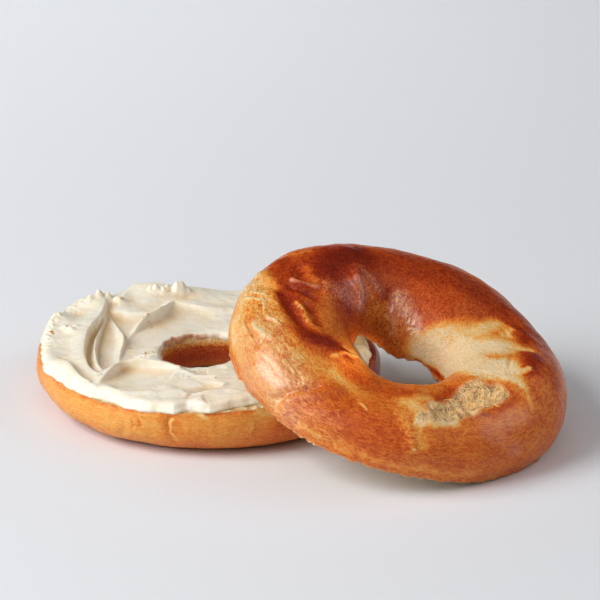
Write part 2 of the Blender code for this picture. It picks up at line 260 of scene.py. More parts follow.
def lower_half_piece():
    """The lower half: how baked each place is, with some painted shade."""
    steps_round, steps_crust, steps_cut = LOWER_STEPS
    angle, share = grid(steps_round, np.linspace(0.0, 1.0, steps_crust) ** 1.15, 240.0, 0.4)
    plain = lower_crust(angle, share)
    relief = fold_relief(lower_crust, plain, LOWER_FOLDS)
    relief += lumps(plain, 14.0 * MM, LOWER_LUMPS) + lumps(plain, 5.0 * MM, 0.16 * MM)
    to_rim = np.minimum(share, 1.0 - share)
    relief *= np.clip(to_rim / 0.04, 0.0, 1.0)
    rim = np.exp(-to_rim / 0.012)
    relief += rim * (lumps(plain, 3.0 * MM, 0.45 * MM) + lumps(plain, 1.1 * MM, 0.25 * MM))
    crust = plain + outward(plain) * relief[..., None]
    crust[..., 2] = np.where(plain[..., 2] > 0.0, np.maximum(crust[..., 2], 0.0), 0.0)
    crust[..., 2] -= rim * np.abs(lumps(plain, 2.2 * MM, 0.5 * MM))
    cut = cut_between(crust, steps_cut)
    cut[..., 2] -= np.abs(lumps(cut, 1.8 * MM, 0.35 * MM))
    ragged = lumps(plain, 3.0 * MM, 0.7) + lumps(plain, 1.2 * MM, 0.5)
    bake = 0.46 + 0.34 * np.clip((share - 0.72) / 0.12, 0.0, 1.0)
    bake -= 0.44 * np.clip((share - 0.91) / 0.06, 0.0, 1.0)
    bake = layered(lower_crust, plain, bake, LOWER_BAKE, ragged)
    rings = np.concatenate([crust, cut], 1) + np.array([LOWER_X, LOWER_Y, 0.0])
    beside = np.zeros(cut.shape[:2])
    around = (np.degrees(angle[:, :1]) + 180.0) % 360.0 - 180.0
    across = np.linspace(0.0, 1.0, cut.shape[1] + 2)[None, 1:-1]
    bitten = np.clip(1.0 - to_rim / 0.005, 0.0, 1.0) * 0.2
    # painted shade: the outer band of the cut face under the leaning half is coloured as dark crust, not
    # crumb
    shaded_rim_band = bump(around + 5.0, 35.0) * np.clip(across * 8.0 - 6.5, 0.0, 1.0)
    lie_crust = lie_of(angle, share * 66.0 * MM)
    crumbs_at_rim = np.clip(1.0 - to_rim / 0.012, 0.0, 1.0) * np.clip(ragged, 0.0, 1.0)
    lie_cut = cut * 1.0
    return ring_piece(
        "lower_half",
        rings,
        True,
        {
            "bake": np.concatenate([bake, shaded_rim_band * 0.9], 1),
            "crumb": np.concatenate([bitten, 1.0 - shaded_rim_band], 1),
            "torn": np.concatenate([0.0 * bake, beside], 1),
            "crinkle": np.concatenate([0.25 + np.clip(share * 8.0 - 6.4, 0.0, 1.0), beside], 1),
            "gloss": np.concatenate([0.04 + 0.0 * bake, beside], 1),
            "lie": np.concatenate([lie_crust, lie_cut], 1),
            "crumbs": np.concatenate([crumbs_at_rim, beside], 1),
        },
    )


class Wire:
    """One socket of a material. Plain arithmetic on it adds Math nodes."""

    def __init__(self, tree, socket=None):
        self.tree = tree
        self.socket = socket

    def beside(self, name):
        """Another output of the node that this socket belongs to."""
        return Wire(self.tree, self.socket.node.outputs[name])

    def make(self, kind, settings, sockets, out=0):
        """Any other node: its type, its settings, then its sockets' values or links."""
        node = self.tree.nodes.new(kind)
        for name, value in settings.items():
            if name != "stops":
                setattr(node, name, value)
                continue
            stops = node.color_ramp.elements
            for place, colour in value[2:]:
                stops.new(place)
            for stop, (place, colour) in zip(stops, value):
                stop.position = place
                stop.color = (*colour, 1.0)
        for name, value in sockets.items():
            if isinstance(value, Wire):
                self.tree.links.new(value.socket, node.inputs[name])
            else:
                node.inputs[name].default_value = value
        return None if out is None else Wire(self.tree, node.outputs[out])

    def math(self, operation, first, second=0.0, clamp=False):
        settings = {"operation": operation, "use_clamp": clamp}
        return self.make("ShaderNodeMath", settings, {0: first, 1: second})

    def __add__(self, other):
        return self.math("ADD", self, other)

    __radd__ = __add__

    def __sub__(self, other):
        return self.math("SUBTRACT", self, other)

    def __rsub__(self, other):
        return self.math("SUBTRACT", other, self)

    def __mul__(self, other):
        return self.math("MULTIPLY", self, other)

    __rmul__ = __mul__

    def __pow__(self, other):
        return self.math("POWER", self, other)

    def held(self):
        """The value kept between 0 and 1."""
        return self.math("ADD", self, 0.0, True)

    def above(self, low, high):
        """0 below low, 1 above high, smooth between."""
        settings = {"interpolation_type": "SMOOTHSTEP"}
        sockets = {"Value": self, "From Min": low, "From Max": high}
        return self.make("ShaderNodeMapRange", settings, sockets)

    def crests(self, sharpness):
        """Thin crests where this noise passes its middle value, 0 elsewhere."""
        away = self - 0.5
        return (1.0 - away.math("ABSOLUTE", away) * sharpness).held()

    def grain(self, size, detail=2.0, roughness=0.5, distortion=0.0):
        """Noise of this grain size in metres over the places this socket gives."""
        sockets = {
            "Vector": self,
            "Scale": 1.0 / size,
            "Detail": detail,
            "Roughness": roughness,
            "Distortion": distortion,
        }
        return self.make("ShaderNodeTexNoise", {}, sockets)

    def blend(self, first, second, mode="MIX"):
        """Two colours mixed by this value."""
        settings = {"data_type": "RGBA", "blend_type": mode}
        return self.make("ShaderNodeMix", settings, {"Factor": self, 6: first, 7: second}, 2)


def named_value(tree, key, out=2):
    """A value that the piece's points carry."""
    return Wire(tree).make("ShaderNodeAttribute", {"attribute_name": key}, {}, out)


# Linear colours of the crust, from pale dough over gold and orange to nearly black
CRUST_STOPS = (
    (0.00, (0.91, 0.70, 0.42)),
    (0.14, (0.89, 0.54, 0.19)),
    (0.30, (0.87, 0.37, 0.066)),
    (0.46, (0.76, 0.185, 0.020)),
    (0.62, (0.53, 0.072, 0.0065)),
    (0.80, (0.28, 0.019, 0.002)),
    (1.00, (0.10, 0.008, 0.0012)),
)


def crust_finish(name, mottle_share, roughness):
    """Baked crust: its colour follows the bake, with mottling, pores, crinkles and gloss."""
    material = bpy.data.materials.new(name)
    material.use_nodes = True
    tree = material.node_tree
    shader = tree.nodes["Principled BSDF"]
    place = Wire(tree).make("ShaderNodeTexCoord", {}, {}, 3)
    bake, crumb = named_value(tree, "bake"), named_value(tree, "crumb")
    torn, crinkle = named_value(tree, "torn"), named_value(tree, "crinkle")
    gloss, lie = named_value(tree, "gloss"), named_value(tree, "lie", 1)

    slant = {0: lie, 1: (0.55, 0.55, 1.1)}
    stretch = lie.make("ShaderNodeVectorMath", {"operation": "MULTIPLY"}, slant)
    crinkles = stretch.grain(1.9 * MM, 3.0, 0.55, 0.8).crests(5.0)
    fine_crinkles = place.grain(0.9 * MM, 2.0, 0.5, 0.5).crests(4.0)
    net = stretch.grain(1.3 * MM, 2.0, 0.5, 0.6).crests(9.0)
    drawn_out = {0: lie, 1: (1.0, 1.0, 0.22)}
    drawn = lie.make("ShaderNodeVectorMath", {"operation": "MULTIPLY"}, drawn_out)
    streaks = drawn.grain(1.6 * MM, 2.0, 0.5, 0.5).crests(6.0)

    cloudy = place.grain(7.0 * MM, 3.0, 0.6) - 0.5
    mottle = place.grain(2.0 * MM, 3.0, 0.65) - 0.5
    speckle = place.grain(0.6 * MM, 2.0, 0.6) - 0.5
    uneven = (cloudy * 0.14 + mottle * 0.14 + speckle * 0.20 - net * 0.10) * mottle_share
    baked = bake + uneven * (bake * (1.15 - bake) * 2.0 + 0.15)
    # paler on the raised crests of the crinkles and the net, darker between them: partly the skin's own
    # colour, partly painted highlight and shade
    baked = baked - (crinkles - 0.3) * crinkle * 0.16 - (fine_crinkles - 0.3) * crinkle * 0.12
    baked = baked - net * crinkle * 0.16
    baked = baked + (crinkles * 0.3 + streaks * 0.6) * crinkle * (0.30 - bake).held()
    colour = Wire(tree).make("ShaderNodeValToRGB", {"stops": CRUST_STOPS}, {"Fac": baked})
    pores = place.grain(1.0 * MM, 1.0, 0.5).above(0.64, 0.72)
    colour = (pores * mottle_share * 0.18).blend(colour, (0.10, 0.018, 0.004, 1.0))

    strands = stretch.grain(1.6 * MM, 1.0, 0.5, 1.8).crests(6.0)
    gaps = place.grain(2.6 * MM, 2.0, 0.6, 0.8).above(0.48, 0.58) * (1.0 - strands)
    torn_colour = (cloudy * 1.6 + 0.5).held().blend(
        (0.96, 0.64, 0.31, 1.0), (0.86, 0.46, 0.15, 1.0)
    )
    torn_colour = (gaps * 0.8).blend(torn_colour, (0.44, 0.18, 0.045, 1.0))
    torn_colour = (strands * 0.45).blend(torn_colour, (0.90, 0.68, 0.40, 1.0))
    colour = torn.blend(colour, torn_colour)

    holes = place.make(
        "ShaderNodeTexVoronoi", {"feature": "SMOOTH_F1"}, {"Vector": place, "Scale": 1.0 / (2.6 * MM)}
    )
    # painted shade: the crumb is darker in its open holes, which the bump also sinks
    open_crumb = holes.above(0.18, 0.55)
    crumb_colour = open_crumb.blend((0.86, 0.72, 0.48, 1.0), (0.66, 0.44, 0.20, 1.0))
    colour = crumb.blend(colour, crumb_colour)
    tree.links.new(colour.socket, shader.inputs["Base Color"])

    leather = place.grain(0.75 * MM, 3.0, 0.6)
    relief = crinkles * crinkle * 0.30 + fine_crinkles * (crinkle * 0.12 + 0.05)
    relief = relief + leather * 0.55 + net * (crinkle * 0.15 + 0.08)
    relief = relief + (strands * 0.5 - gaps * 0.6) * torn + (1.0 - open_crumb) * crumb * 1.6
    normal = relief.make(
        "ShaderNodeBump", {}, {"Height": relief, "Strength": 1.0, "Distance": 0.5 * MM}
    )
    tree.links.new(normal.socket, shader.inputs["Normal"])
    dull = mottle * 0.16 + torn * 0.35 + crumb * 0.55 + roughness
    tree.links.new(dull.held().socket, shader.inputs["Roughness"])
    glaze = (1.0 - crumb) * (1.0 - torn * 0.7) * gloss
    tree.links.new(glaze.held().socket, shader.inputs["Coat Weight"])
    shader.inputs["Coat Roughness"].default_value = 0.45
    shader.inputs["Coat IOR"].default_value = 2.2
    shader.inputs["Specular IOR Level"].default_value = 0.20
    shader.inputs["Subsurface Weight"].default_value = 0.10
    shader.inputs["Subsurface Radius"].default_value = (1.0, 0.35, 0.12)
    shader.inputs["Subsurface Scale"].default_value = 1.5 * MM
    return material


lower_half = lower_half_piece()
lower_half.data.materials.append(crust_finish("golden crust", 0.95, 0.30))
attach(lower_half, "root")
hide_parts("bagel_lower_half")


# Cream cheese
# A thick layer of soft cheese, put on with a table knife. The blade left hollows with a ridge
# along each, a rolled edge over the front rim, and torn curls where it was lifted off.

UPPER_X = 30.5 * MM
UPPER_Y = -16.0 * MM
UPPER_LIFT = 17.5 * MM
UPPER_SLOPE = math.radians(19.0)
UPPER_DOWNHILL = math.radians(-40.4)
UPPER_CUT_WAVES = (
    (2, -0.3 * MM, -0.7 * MM),
    (3, 0.6 * MM, 1.0 * MM),
    (4, -0.7 * MM, -0.3 * MM),
    (5, 0.2 * MM, -0.7 * MM),
)
EMBED = 0.2 * MM

# How far the cheese's edge stays inside the cut rim, by degrees round the ring
SPREAD_INSETS = (
    (-180, 1.6),
    (-171, 0.9),
    (-162, -0.6),
    (-151, 0.4),
    (-133, 1.1),
    (-125, 2.3),
    (-119, 0.6),
    (-100, 0.2),
    (-96, 2.4),
    (-91, 1.4),
    (-88, 0.2),
    (-81, 3.0),
    (-72, 3.9),
    (-50, 2.0),
    (-20, 2.0),
    (-4, 2.6),
    (15, 2.4),
    (60, 1.2),
    (108, 0.2),
    (125, -0.6),
    (150, -1.0),
    (165, 0.4),
)
SPREAD_HOLE_INSET = 0.3 * MM
SPREAD_THICKNESS = 3.3 * MM

# How far it hangs into the hole, by degrees round the ring
SPREAD_HANG = (
    (50, 0.3),
    (70, 0.7),
    (95, 1.2),
    (120, 2.0),
    (142, 2.4),
    (160, 1.6),
    (174, 0.7),
    (190, 0.2),
)
SPREAD_EDGE = 1.5 * MM
SPREAD_ROUNDING = 2.6 * MM
SPREAD_HOLE_ROUNDING = 5.0 * MM
SPREAD_ROOM = 0.8 * MM
SPREAD_STEPS = (720, 110, 7, 8)

# Heaps and hollows: place on the cut face in millimetres, height, half width
SPREAD_HEAPS = (
    ((-22, 50), 3.8, 9.0),
    ((-38, 36), 2.7, 9.0),
    ((-50, 18), 2.3, 8.0),
    ((-8, 52), 1.2, 8.0),
    ((-46, -24), 1.3, 8.0),
    ((-45, 24), -1.2, 5.0),
    ((-46, -6), -0.8, 6.0),
    ((-45.6, 7.4), 1.8, 1.6),
    ((-43.8, 9.6), 1.2, 1.2),
    ((-47.4, 9.6), 1.0, 1.2),
    ((-45.4, 9.4), -1.2, 0.8),
    ((-10.6, 46.6), 3.6, 2.0),
    ((-12.0, 45.0), 2.2, 1.4),
    ((-9.6, 48.4), 1.2, 0.9),
    ((-14.8, 45.5), 2.0, 1.4),
    ((-16.2, 43.6), 1.6, 1.2),
    ((-19.0, 44.4), 1.4, 1.7),
    ((-37.6, 35.4), 2.4, 1.3),
    ((-34.6, 36.4), 1.6, 1.1),
    ((-31.4, 35.4), 1.4, 1.2),
    ((-40.6, 33.6), 1.2, 1.4),
    ((-52.6, 3.0), 0.9, 1.5),
    ((-51.6, 10.0), 0.8, 1.3),
    ((1.0, -38.0), -0.9, 2.8),
)

# Strokes of the knife: path in millimetres, height of its ridge, how far the ridge slopes off
# to the left, depth of the hollow to its right, and how far the hollow reaches
SPREAD_STROKES = (
    (((-34.5, -27), (-37.6, -22), (-39.4, -14), (-39.9, -4), (-39.2, 7), (-36.8, 17), (-35.4, 26), (-34.6, 36)), 2.0, 5.0, 3.0, 1.3),
    (((-33.4, -24), (-35.4, -17), (-36.6, -6), (-36.4, 5), (-35.4, 15), (-34.2, 28)), 2.1, 0.9, 3.6, 4.0),
    (((-28.6, -14.6), (-28.2, -6), (-27.6, 1.5), (-28.6, 9), (-31, 18), (-34, 27)), 2.0, 2.6, 2.4, 3.2),
    (((-27.5, -1), (-26.2, 6.7), (-23.6, 15), (-20.6, 21), (-16.6, 27), (-12.7, 39)), 2.7, 1.8, 4.0, 6.0),
    (((-34.4, -34), (-32, -29.5), (-29.6, -24.5), (-27, -19.5), (-22, -18.5), (-16, -19.5), (-8, -22)), 2.0, 2.2, 3.4, 4.6),
    (((4, -42), (-9.4, -43.5), (-22.9, -43.6), (-29.3, -40), (-32.6, -36)), 0.9, 2.4, 1.5, 2.4),
    (((8, -27.5), (1.1, -31.6), (-4.4, -29.4), (-7.8, -24.6), (-8.8, -18.5)), 0.7, 1.4, 1.6, 4.6),
    (((4, -60), (2, -55.5), (-0.5, -51.5), (-1, -47)), 0.4, 2.4, 0.5, 2.4),
    (((6.4, -38), (3.6, -43), (-5.1, -47.5)), 0.8, 1.2, 0.9, 2.4),
    (((-6.5, -49), (-5.0, -46), (-1.6, -45.5)), 0.4, 1.2, 0.5, 1.2),
    (((13, -46), (6.4, -43.5), (0.2, -47.5), (-5.6, -52)), 0.5, 1.8, 0.5, 1.8),
    (((-33.4, -38), (-38.6, -32.5), (-42.2, -26), (-45.5, -19.3), (-48.8, -13.3)), 0.9, 3.0, 1.6, 1.5),
    (((-24, 52), (-28, 45), (-30, 38), (-30.5, 30)), 0.5, 2.0, 0.7, 3.0),
)

# Where the cheese is torn and crumbly: path, height of the crumbs, half width
SPREAD_TORN = (
    (((-27, -3), (-24, -8), (-19, -11), (-14, -8)), 0.9, 1.8),
    (((-16, -2), (-12, 6), (-4, 11), (6, 14)), 0.7, 2.2),
    (((-53, -2), (-52, 16), (-48, 26), (-42, 33), (-36, 37)), 0.8, 2.2),
    (((-37, 38), (-33, 37)), 0.9, 2.0),
    (((-20, 44), (-9, 46)), 1.1, 2.0),
    (((-9, -26), (-6, -32)), 0.4, 1.6),
    (((-22, 14), (-18, 22)), 0.4, 1.4),
    (((-40, -33), (-33, -39)), 0.3, 1.4),
)


# Where crumbs of crust lie on it: place in millimetres, half width
SPREAD_CRUMBS = (
    ((-37.9, 35.4), 0.9),
    ((-31.4, 35.2), 1.1),
    ((-20.2, 20.2), 1.3),
    ((-25.0, -1.5), 0.9),
    ((-33.6, -29.0), 0.7),
    ((-51.5, 6.0), 1.2),
    ((-19.0, -7.0), 1.2),
    ((3.0, -34.0), 1.0),
    ((-14.0, 44.0), 0.7),
)


def beside_path(x, y, path):
    """Nearest distance to a path on the cut face, below 0 left of it, and the share along it."""
    corners = np.array(path, float) * MM
    lengths = np.linalg.norm(np.diff(corners, axis=0), axis=1)
    passed = np.concatenate([[0.0], np.cumsum(lengths)])
    nearest = np.full(x.shape, np.inf)
    side, along = np.zeros(x.shape), np.zeros(x.shape)
    for start, end, length, before in zip(corners, corners[1:], lengths, passed):
        step = (end - start) / length
        ahead = (x - start[0]) * step[0] + (y - start[1]) * step[1]
        right = (x - start[0]) * step[1] - (y - start[1]) * step[0]
        held = np.clip(ahead, 0.0, length)
        gap = np.hypot(ahead - held, right)
        closer = gap < nearest
        nearest = np.where(closer, gap, nearest)
        side = np.where(closer, np.sign(right), side)
        along = np.where(closer, (before + held) / passed[-1], along)
    return nearest, side, along


def smooth_path(path, pieces):
    """A path with its corners rounded off."""
    corners = np.array(path, float)
    spots = np.linspace(0.0, len(corners) - 1.0, pieces)
    ends = np.vstack([2 * corners[0] - corners[1], corners, 2 * corners[-1] - corners[-2]])
    at = np.minimum(spots.astype(int), len(corners) - 2)
    t = (spots - at)[:, None]
    a, b, c, d = ends[at], ends[at + 1], ends[at + 2], ends[at + 3]
    return 0.5 * (2 * b + (c - a) * t + (2 * a - 5 * b + 4 * c - d) * t**2
                  + (3 * b - a - 3 * c + d) * t**3)


def spread_thickness(x, y):
    """Thickness of the cheese over the cut face."""
    place = np.stack([x, y, 0.0 * x], -1)
    thickness = np.full(x.shape, SPREAD_THICKNESS)
    for centre, height, half_width in SPREAD_HEAPS:
        gap = np.hypot(x - centre[0] * MM, y - centre[1] * MM)
        thickness += height * MM * bump(gap, half_width * MM)
    for number, (path, rise, slope, depth, reach) in enumerate(SPREAD_STROKES):
        gap, side, along = beside_path(x, y, smooth_path(path, 6 * len(path)))
        ends = np.clip(np.sin(math.pi * along), 0.0, 1.0) ** 0.7
        left = np.where(side < 0.0, gap, 0.0)
        right = np.where(side < 0.0, 0.0, gap)
        ridge = rise * MM * np.exp(-((left / (slope * MM)) ** 2) - (right / (0.55 * MM)) ** 2)
        far = right / (reach * MM)
        hollow = depth * MM * far * np.exp(1.0 - far)
        streaks = 0.06 * MM * np.sin(right / (0.25 * MM) + 4.0 * lumps(place, 6.0 * MM, 1.0))
        streaks *= np.exp(-((far - 1.2) ** 2)) * (right > 0.0)
        thickness += ends * (ridge - hollow + streaks)
    for path, height, half_width in SPREAD_TORN:
        gap, _, _ = beside_path(x, y, path)
        crumbs = np.abs(lumps(place, 2.2 * MM, 1.8)) + lumps(place, 1.1 * MM, 0.5) - 0.25
        thickness += height * MM * crumbs * bump(gap, half_width * MM)
    thickness += lumps(place, 6.0 * MM, 0.40 * MM) + lumps(place, 2.4 * MM, 0.16 * MM)
    least = 1.1 * MM
    over = (thickness - least) / (0.8 * MM)
    return least + 0.8 * MM * np.logaddexp(0.0, over)


def sunk(height, reach):
    """How far each point of a ring's grid lies below the points round it."""
    around = height
    for axis, mode in ((0, "wrap"), (1, "edge")):
        for _ in range(2):
            pads = [(0, 0), (0, 0)]
            pads[axis] = (reach, reach)
            padded = np.pad(around, pads, mode=mode)
            total = np.cumsum(padded, axis=axis)
            width = 2 * reach
            ahead = np.take(total, range(width, total.shape[axis]), axis=axis)
            behind = np.take(total, range(0, total.shape[axis] - width), axis=axis)
            around = (ahead - behind) / width
    return around - height


def upper_pose():
    """Place of the upper half: turned about a level axis so that it leans downhill."""
    axis = Vector((-math.sin(UPPER_DOWNHILL), math.cos(UPPER_DOWNHILL), 0.0))
    turn = Matrix.Rotation(UPPER_SLOPE, 4, axis)
    return Matrix.Translation((UPPER_X, UPPER_Y, UPPER_LIFT)) @ turn


def underside(x, y):
    """Height just under the leaning half's cut face, over each place on the lower half."""
    side, forward, normal = np.array(upper_pose())[:3, :3].T
    offset_x = x + LOWER_X - UPPER_X
    offset_y = y + LOWER_Y - UPPER_Y
    rise = -(offset_x * normal[0] + offset_y * normal[1]) / normal[2]
    place = np.stack([offset_x, offset_y, rise], -1)
    angle = np.arctan2(place @ forward, place @ side)
    uneven = waves(angle, UPPER_CUT_WAVES) / normal[2]
    return UPPER_LIFT + rise + uneven - SPREAD_ROOM


def cheese_piece():
    """The spread: its top with the knife's marks, its rolled outer edge, and its underside."""
    steps_round, steps_top, steps_edge, steps_base = SPREAD_STEPS
    angle, share = grid(steps_round, np.linspace(0.0, 1.0, steps_top), 195.0, 0.4)
    degrees, insets = np.array(SPREAD_INSETS).T
    inset = np.interp(np.degrees(angle), degrees, insets, period=360.0) * MM
    rim_outer, rim_hole, cut = lower_rim(angle)
    rim_place = ring_points(angle, rim_outer, 0.0 * angle)
    ragged = lumps(rim_place, 5.0 * MM, 0.8 * MM) + lumps(rim_place, 2.2 * MM, 0.3 * MM)
    hole_place = ring_points(angle, rim_hole, 0.0 * angle)
    torn = lumps(hole_place, 4.0 * MM, 1.0 * MM) + lumps(hole_place, 1.5 * MM, 0.3 * MM)
    outer, hole = rim_outer - inset + ragged, rim_hole + SPREAD_HOLE_INSET + torn
    radius = hole + (outer - hole) * share
    to_edge = np.minimum(
        (outer - radius) / SPREAD_ROUNDING,
        (radius - hole) / SPREAD_HOLE_ROUNDING,
    )
    rounding = np.sqrt(1.0 - np.clip(1.0 - to_edge, 0.0, 1.0) ** 2)
    x, y = radius * np.cos(angle), radius * np.sin(angle)
    base = cut - EMBED
    top = base + SPREAD_EDGE + (spread_thickness(x, y) - SPREAD_EDGE) * rounding
    top = np.maximum(np.minimum(top, underside(x, y)), cut + 0.5 * MM)
    # painted shade: how far each point lies below its neighbours, which tints the cheese tan in its hollows
    hollow = np.clip(sunk(top, 12) / (1.1 * MM), 0.0, 1.0) * np.clip(to_edge, 0.0, 1.0)
    upper_side = np.stack([x, y, top], -1)

    here, rim, hem = angle[:, :1], outer[:, :1], hole[:, :1]
    lip = np.linspace(0.0, 1.0, steps_edge + 2)[None, 1:-1]
    hang = np.interp(np.degrees(here), *np.array(SPREAD_HANG).T, period=360.0)
    flaps = lumps(hole_place[:, :1], 9.0 * MM, 0.5) + lumps(hole_place[:, :1], 3.6 * MM, 0.2)
    drop = hang * MM * (1.0 + flaps)
    foot = base[:, :1] - drop
    fold = np.sin(math.pi * lip) * (0.5 * MM + lumps(hole_place[:, :1], 2.2 * MM, 0.7 * MM))
    hole_edge = ring_points(here, hem - fold, foot + (top[:, :1] - foot) * lip)

    edge_foot = base[:, :1] - 0.5 * MM
    base_share = np.linspace(0.0, 1.0, steps_base)[None, :]
    base_radius = hem + 0.9 * MM + (rim - hem - 1.5 * MM) * base_share
    base_height = foot + (edge_foot - foot) * np.clip(base_share * 6.0, 0.0, 1.0)
    lower_side = ring_points(here, base_radius, base_height)

    edge_height = edge_foot + (top[:, -1:] - edge_foot) * lip
    roll = lumps(rim_place[:, :1], 6.0 * MM, 0.6 * MM) + lumps(rim_place[:, :1], 2.8 * MM, 0.3 * MM)
    bulge = (0.7 * MM + roll) * np.sin(math.pi * lip**0.8) - 0.2 * MM * (1.0 - lip) ** 2
    outer_edge = ring_points(here, rim + bulge, edge_height)
    rings = np.concatenate([upper_side, outer_edge[:, ::-1], lower_side[:, ::-1], hole_edge], 1)
    # browner where the cheese hangs further into the hole, and most at the foot of its hem
    hang_brown = np.clip(hang - 0.6, 0.0, 1.0)
    hidden = 0.0 * base_share + hang_brown
    lip_brown = np.clip(hang_brown * 2.4 * (1.0 - lip * 0.8), 0.0, 1.0)
    stain = np.concatenate([0.0 * top, 0.0 * edge_height, hidden, lip_brown], 1)
    elsewhere = np.zeros((steps_round, rings.shape[1] - steps_top))
    around = np.degrees(angle)
    # painted shade: the cheese under the leaning half gets the same tan as the hollows
    under_half_shade = bump((around + 15.0) / 40.0, 1.0) * np.clip(share * 3.0 - 1.2, 0.0, 1.0)
    hollow = np.maximum(hollow, 0.8 * under_half_shade)
    crumbly = sum(bump(np.hypot(x - a * MM, y - b * MM), r * MM) for (a, b), r in SPREAD_CRUMBS)
    return ring_piece(
        "cream_cheese_spread",
        rings + np.array([LOWER_X, LOWER_Y, 0.0]),
        False,
        {
            "stain": stain,
            "hollow": np.concatenate([hollow, elsewhere], 1),
            "crumbs": np.concatenate([crumbly, elsewhere], 1),
        },
    )


def cheese_finish():
    """Soft cheese: off-white, a dull sheen, light passing through its thin edges."""
    material = bpy.data.materials.new("cream cheese")
    material.use_nodes = True
    tree = material.node_tree
    shader = tree.nodes["Principled BSDF"]
    place = Wire(tree).make("ShaderNodeTexCoord", {}, {}, 3)
    cloudy = place.grain(6.0 * MM, 3.0, 0.6)
    fine = place.grain(0.9 * MM, 3.0, 0.6)
    colour = cloudy.above(0.35, 0.7).blend((0.95, 0.89, 0.76, 1.0), (0.935, 0.84, 0.66, 1.0))
    # painted shade: tan in the hollows and under the leaning half
    hollow = named_value(tree, "hollow")
    colour = (hollow * (cloudy * 0.4 + 0.7)).held().blend(colour, (0.76, 0.54, 0.28, 1.0))
    specks = place.grain(1.3 * MM, 1.0, 0.5).above(0.70, 0.76)
    colour = (specks * 0.25).blend(colour, (0.62, 0.42, 0.20, 1.0))
    # brown where the cheese hangs into the hole, on its hem and underside
    stain = named_value(tree, "stain")
    colour = (stain * (fine + 0.35)).held().blend(colour, (0.60, 0.26, 0.12, 1.0))
    tree.links.new(colour.socket, shader.inputs["Base Color"])
    dull = 0.36 + (fine - 0.5) * 0.20
    tree.links.new(dull.held().socket, shader.inputs["Roughness"])
    bubbles = place.make(
        "ShaderNodeTexVoronoi", {"feature": "F1"}, {"Vector": place, "Scale": 1.0 / (2.4 * MM)}
    )
    dents = bubbles.above(0.10, 0.20)
    relief = fine * 0.35 + dents * 0.25 + place.grain(2.5 * MM, 2.0, 0.5) * 0.8
    normal = relief.make(
        "ShaderNodeBump", {}, {"Height": relief, "Strength": 1.0, "Distance": 0.25 * MM}
    )
    tree.links.new(normal.socket, shader.inputs["Normal"])
    shader.inputs["Subsurface Weight"].default_value = 0.45
    shader.inputs["Subsurface Radius"].default_value = (1.0, 0.8, 0.5)
    shader.inputs["Subsurface Scale"].default_value = 1.3 * MM
    shader.inputs["Specular IOR Level"].default_value = 0.45
    return material


spread = cheese_piece()
spread.data.materials.append(cheese_finish())
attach(spread, "root")
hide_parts("cream_cheese")


# Upper half of the bagel
# The top of the same ring, glossy red-brown where it rose and baked, pale where the dough
# stretched in the oven, and pinched at the seam. It leans with one rim on the cheese.

UPPER_RADIUS = 54.3 * MM
UPPER_HOLE = 16.5 * MM
UPPER_HEIGHT = 20.1 * MM
UPPER_WAIST = 8.0 * MM
UPPER_CROWN = 0.51
UPPER_FULLNESS = 2.1
UPPER_RIM_DRAW = 1.6 * MM
UPPER_HOLE_DRAW = 1.4 * MM
UPPER_WALL_SHARE = 0.11
UPPER_LUMPS = 0.8 * MM
UPPER_CUT_LUMPS = 0.4 * MM
UPPER_STEPS = (640, 139, 13)
UPPER_OUTLINE_WAVES = (
    (1, 0.006, 0.014),
    (2, -0.003, -0.006),
    (3, -0.011, -0.003),
    (4, 0.009, -0.012),
)
UPPER_HOLE_WAVES = (
    (1, -0.041, -0.063),
    (2, -0.047, -0.088),
    (3, 0.051, 0.030),
    (4, 0.026, 0.001),
    (5, -0.004, -0.027),
)
UPPER_HEIGHT_WAVES = (
    (1, 0.036, 0.084),
    (2, 0.046, -0.030),
    (3, -0.016, -0.086),
    (4, 0.046, 0.003),
)

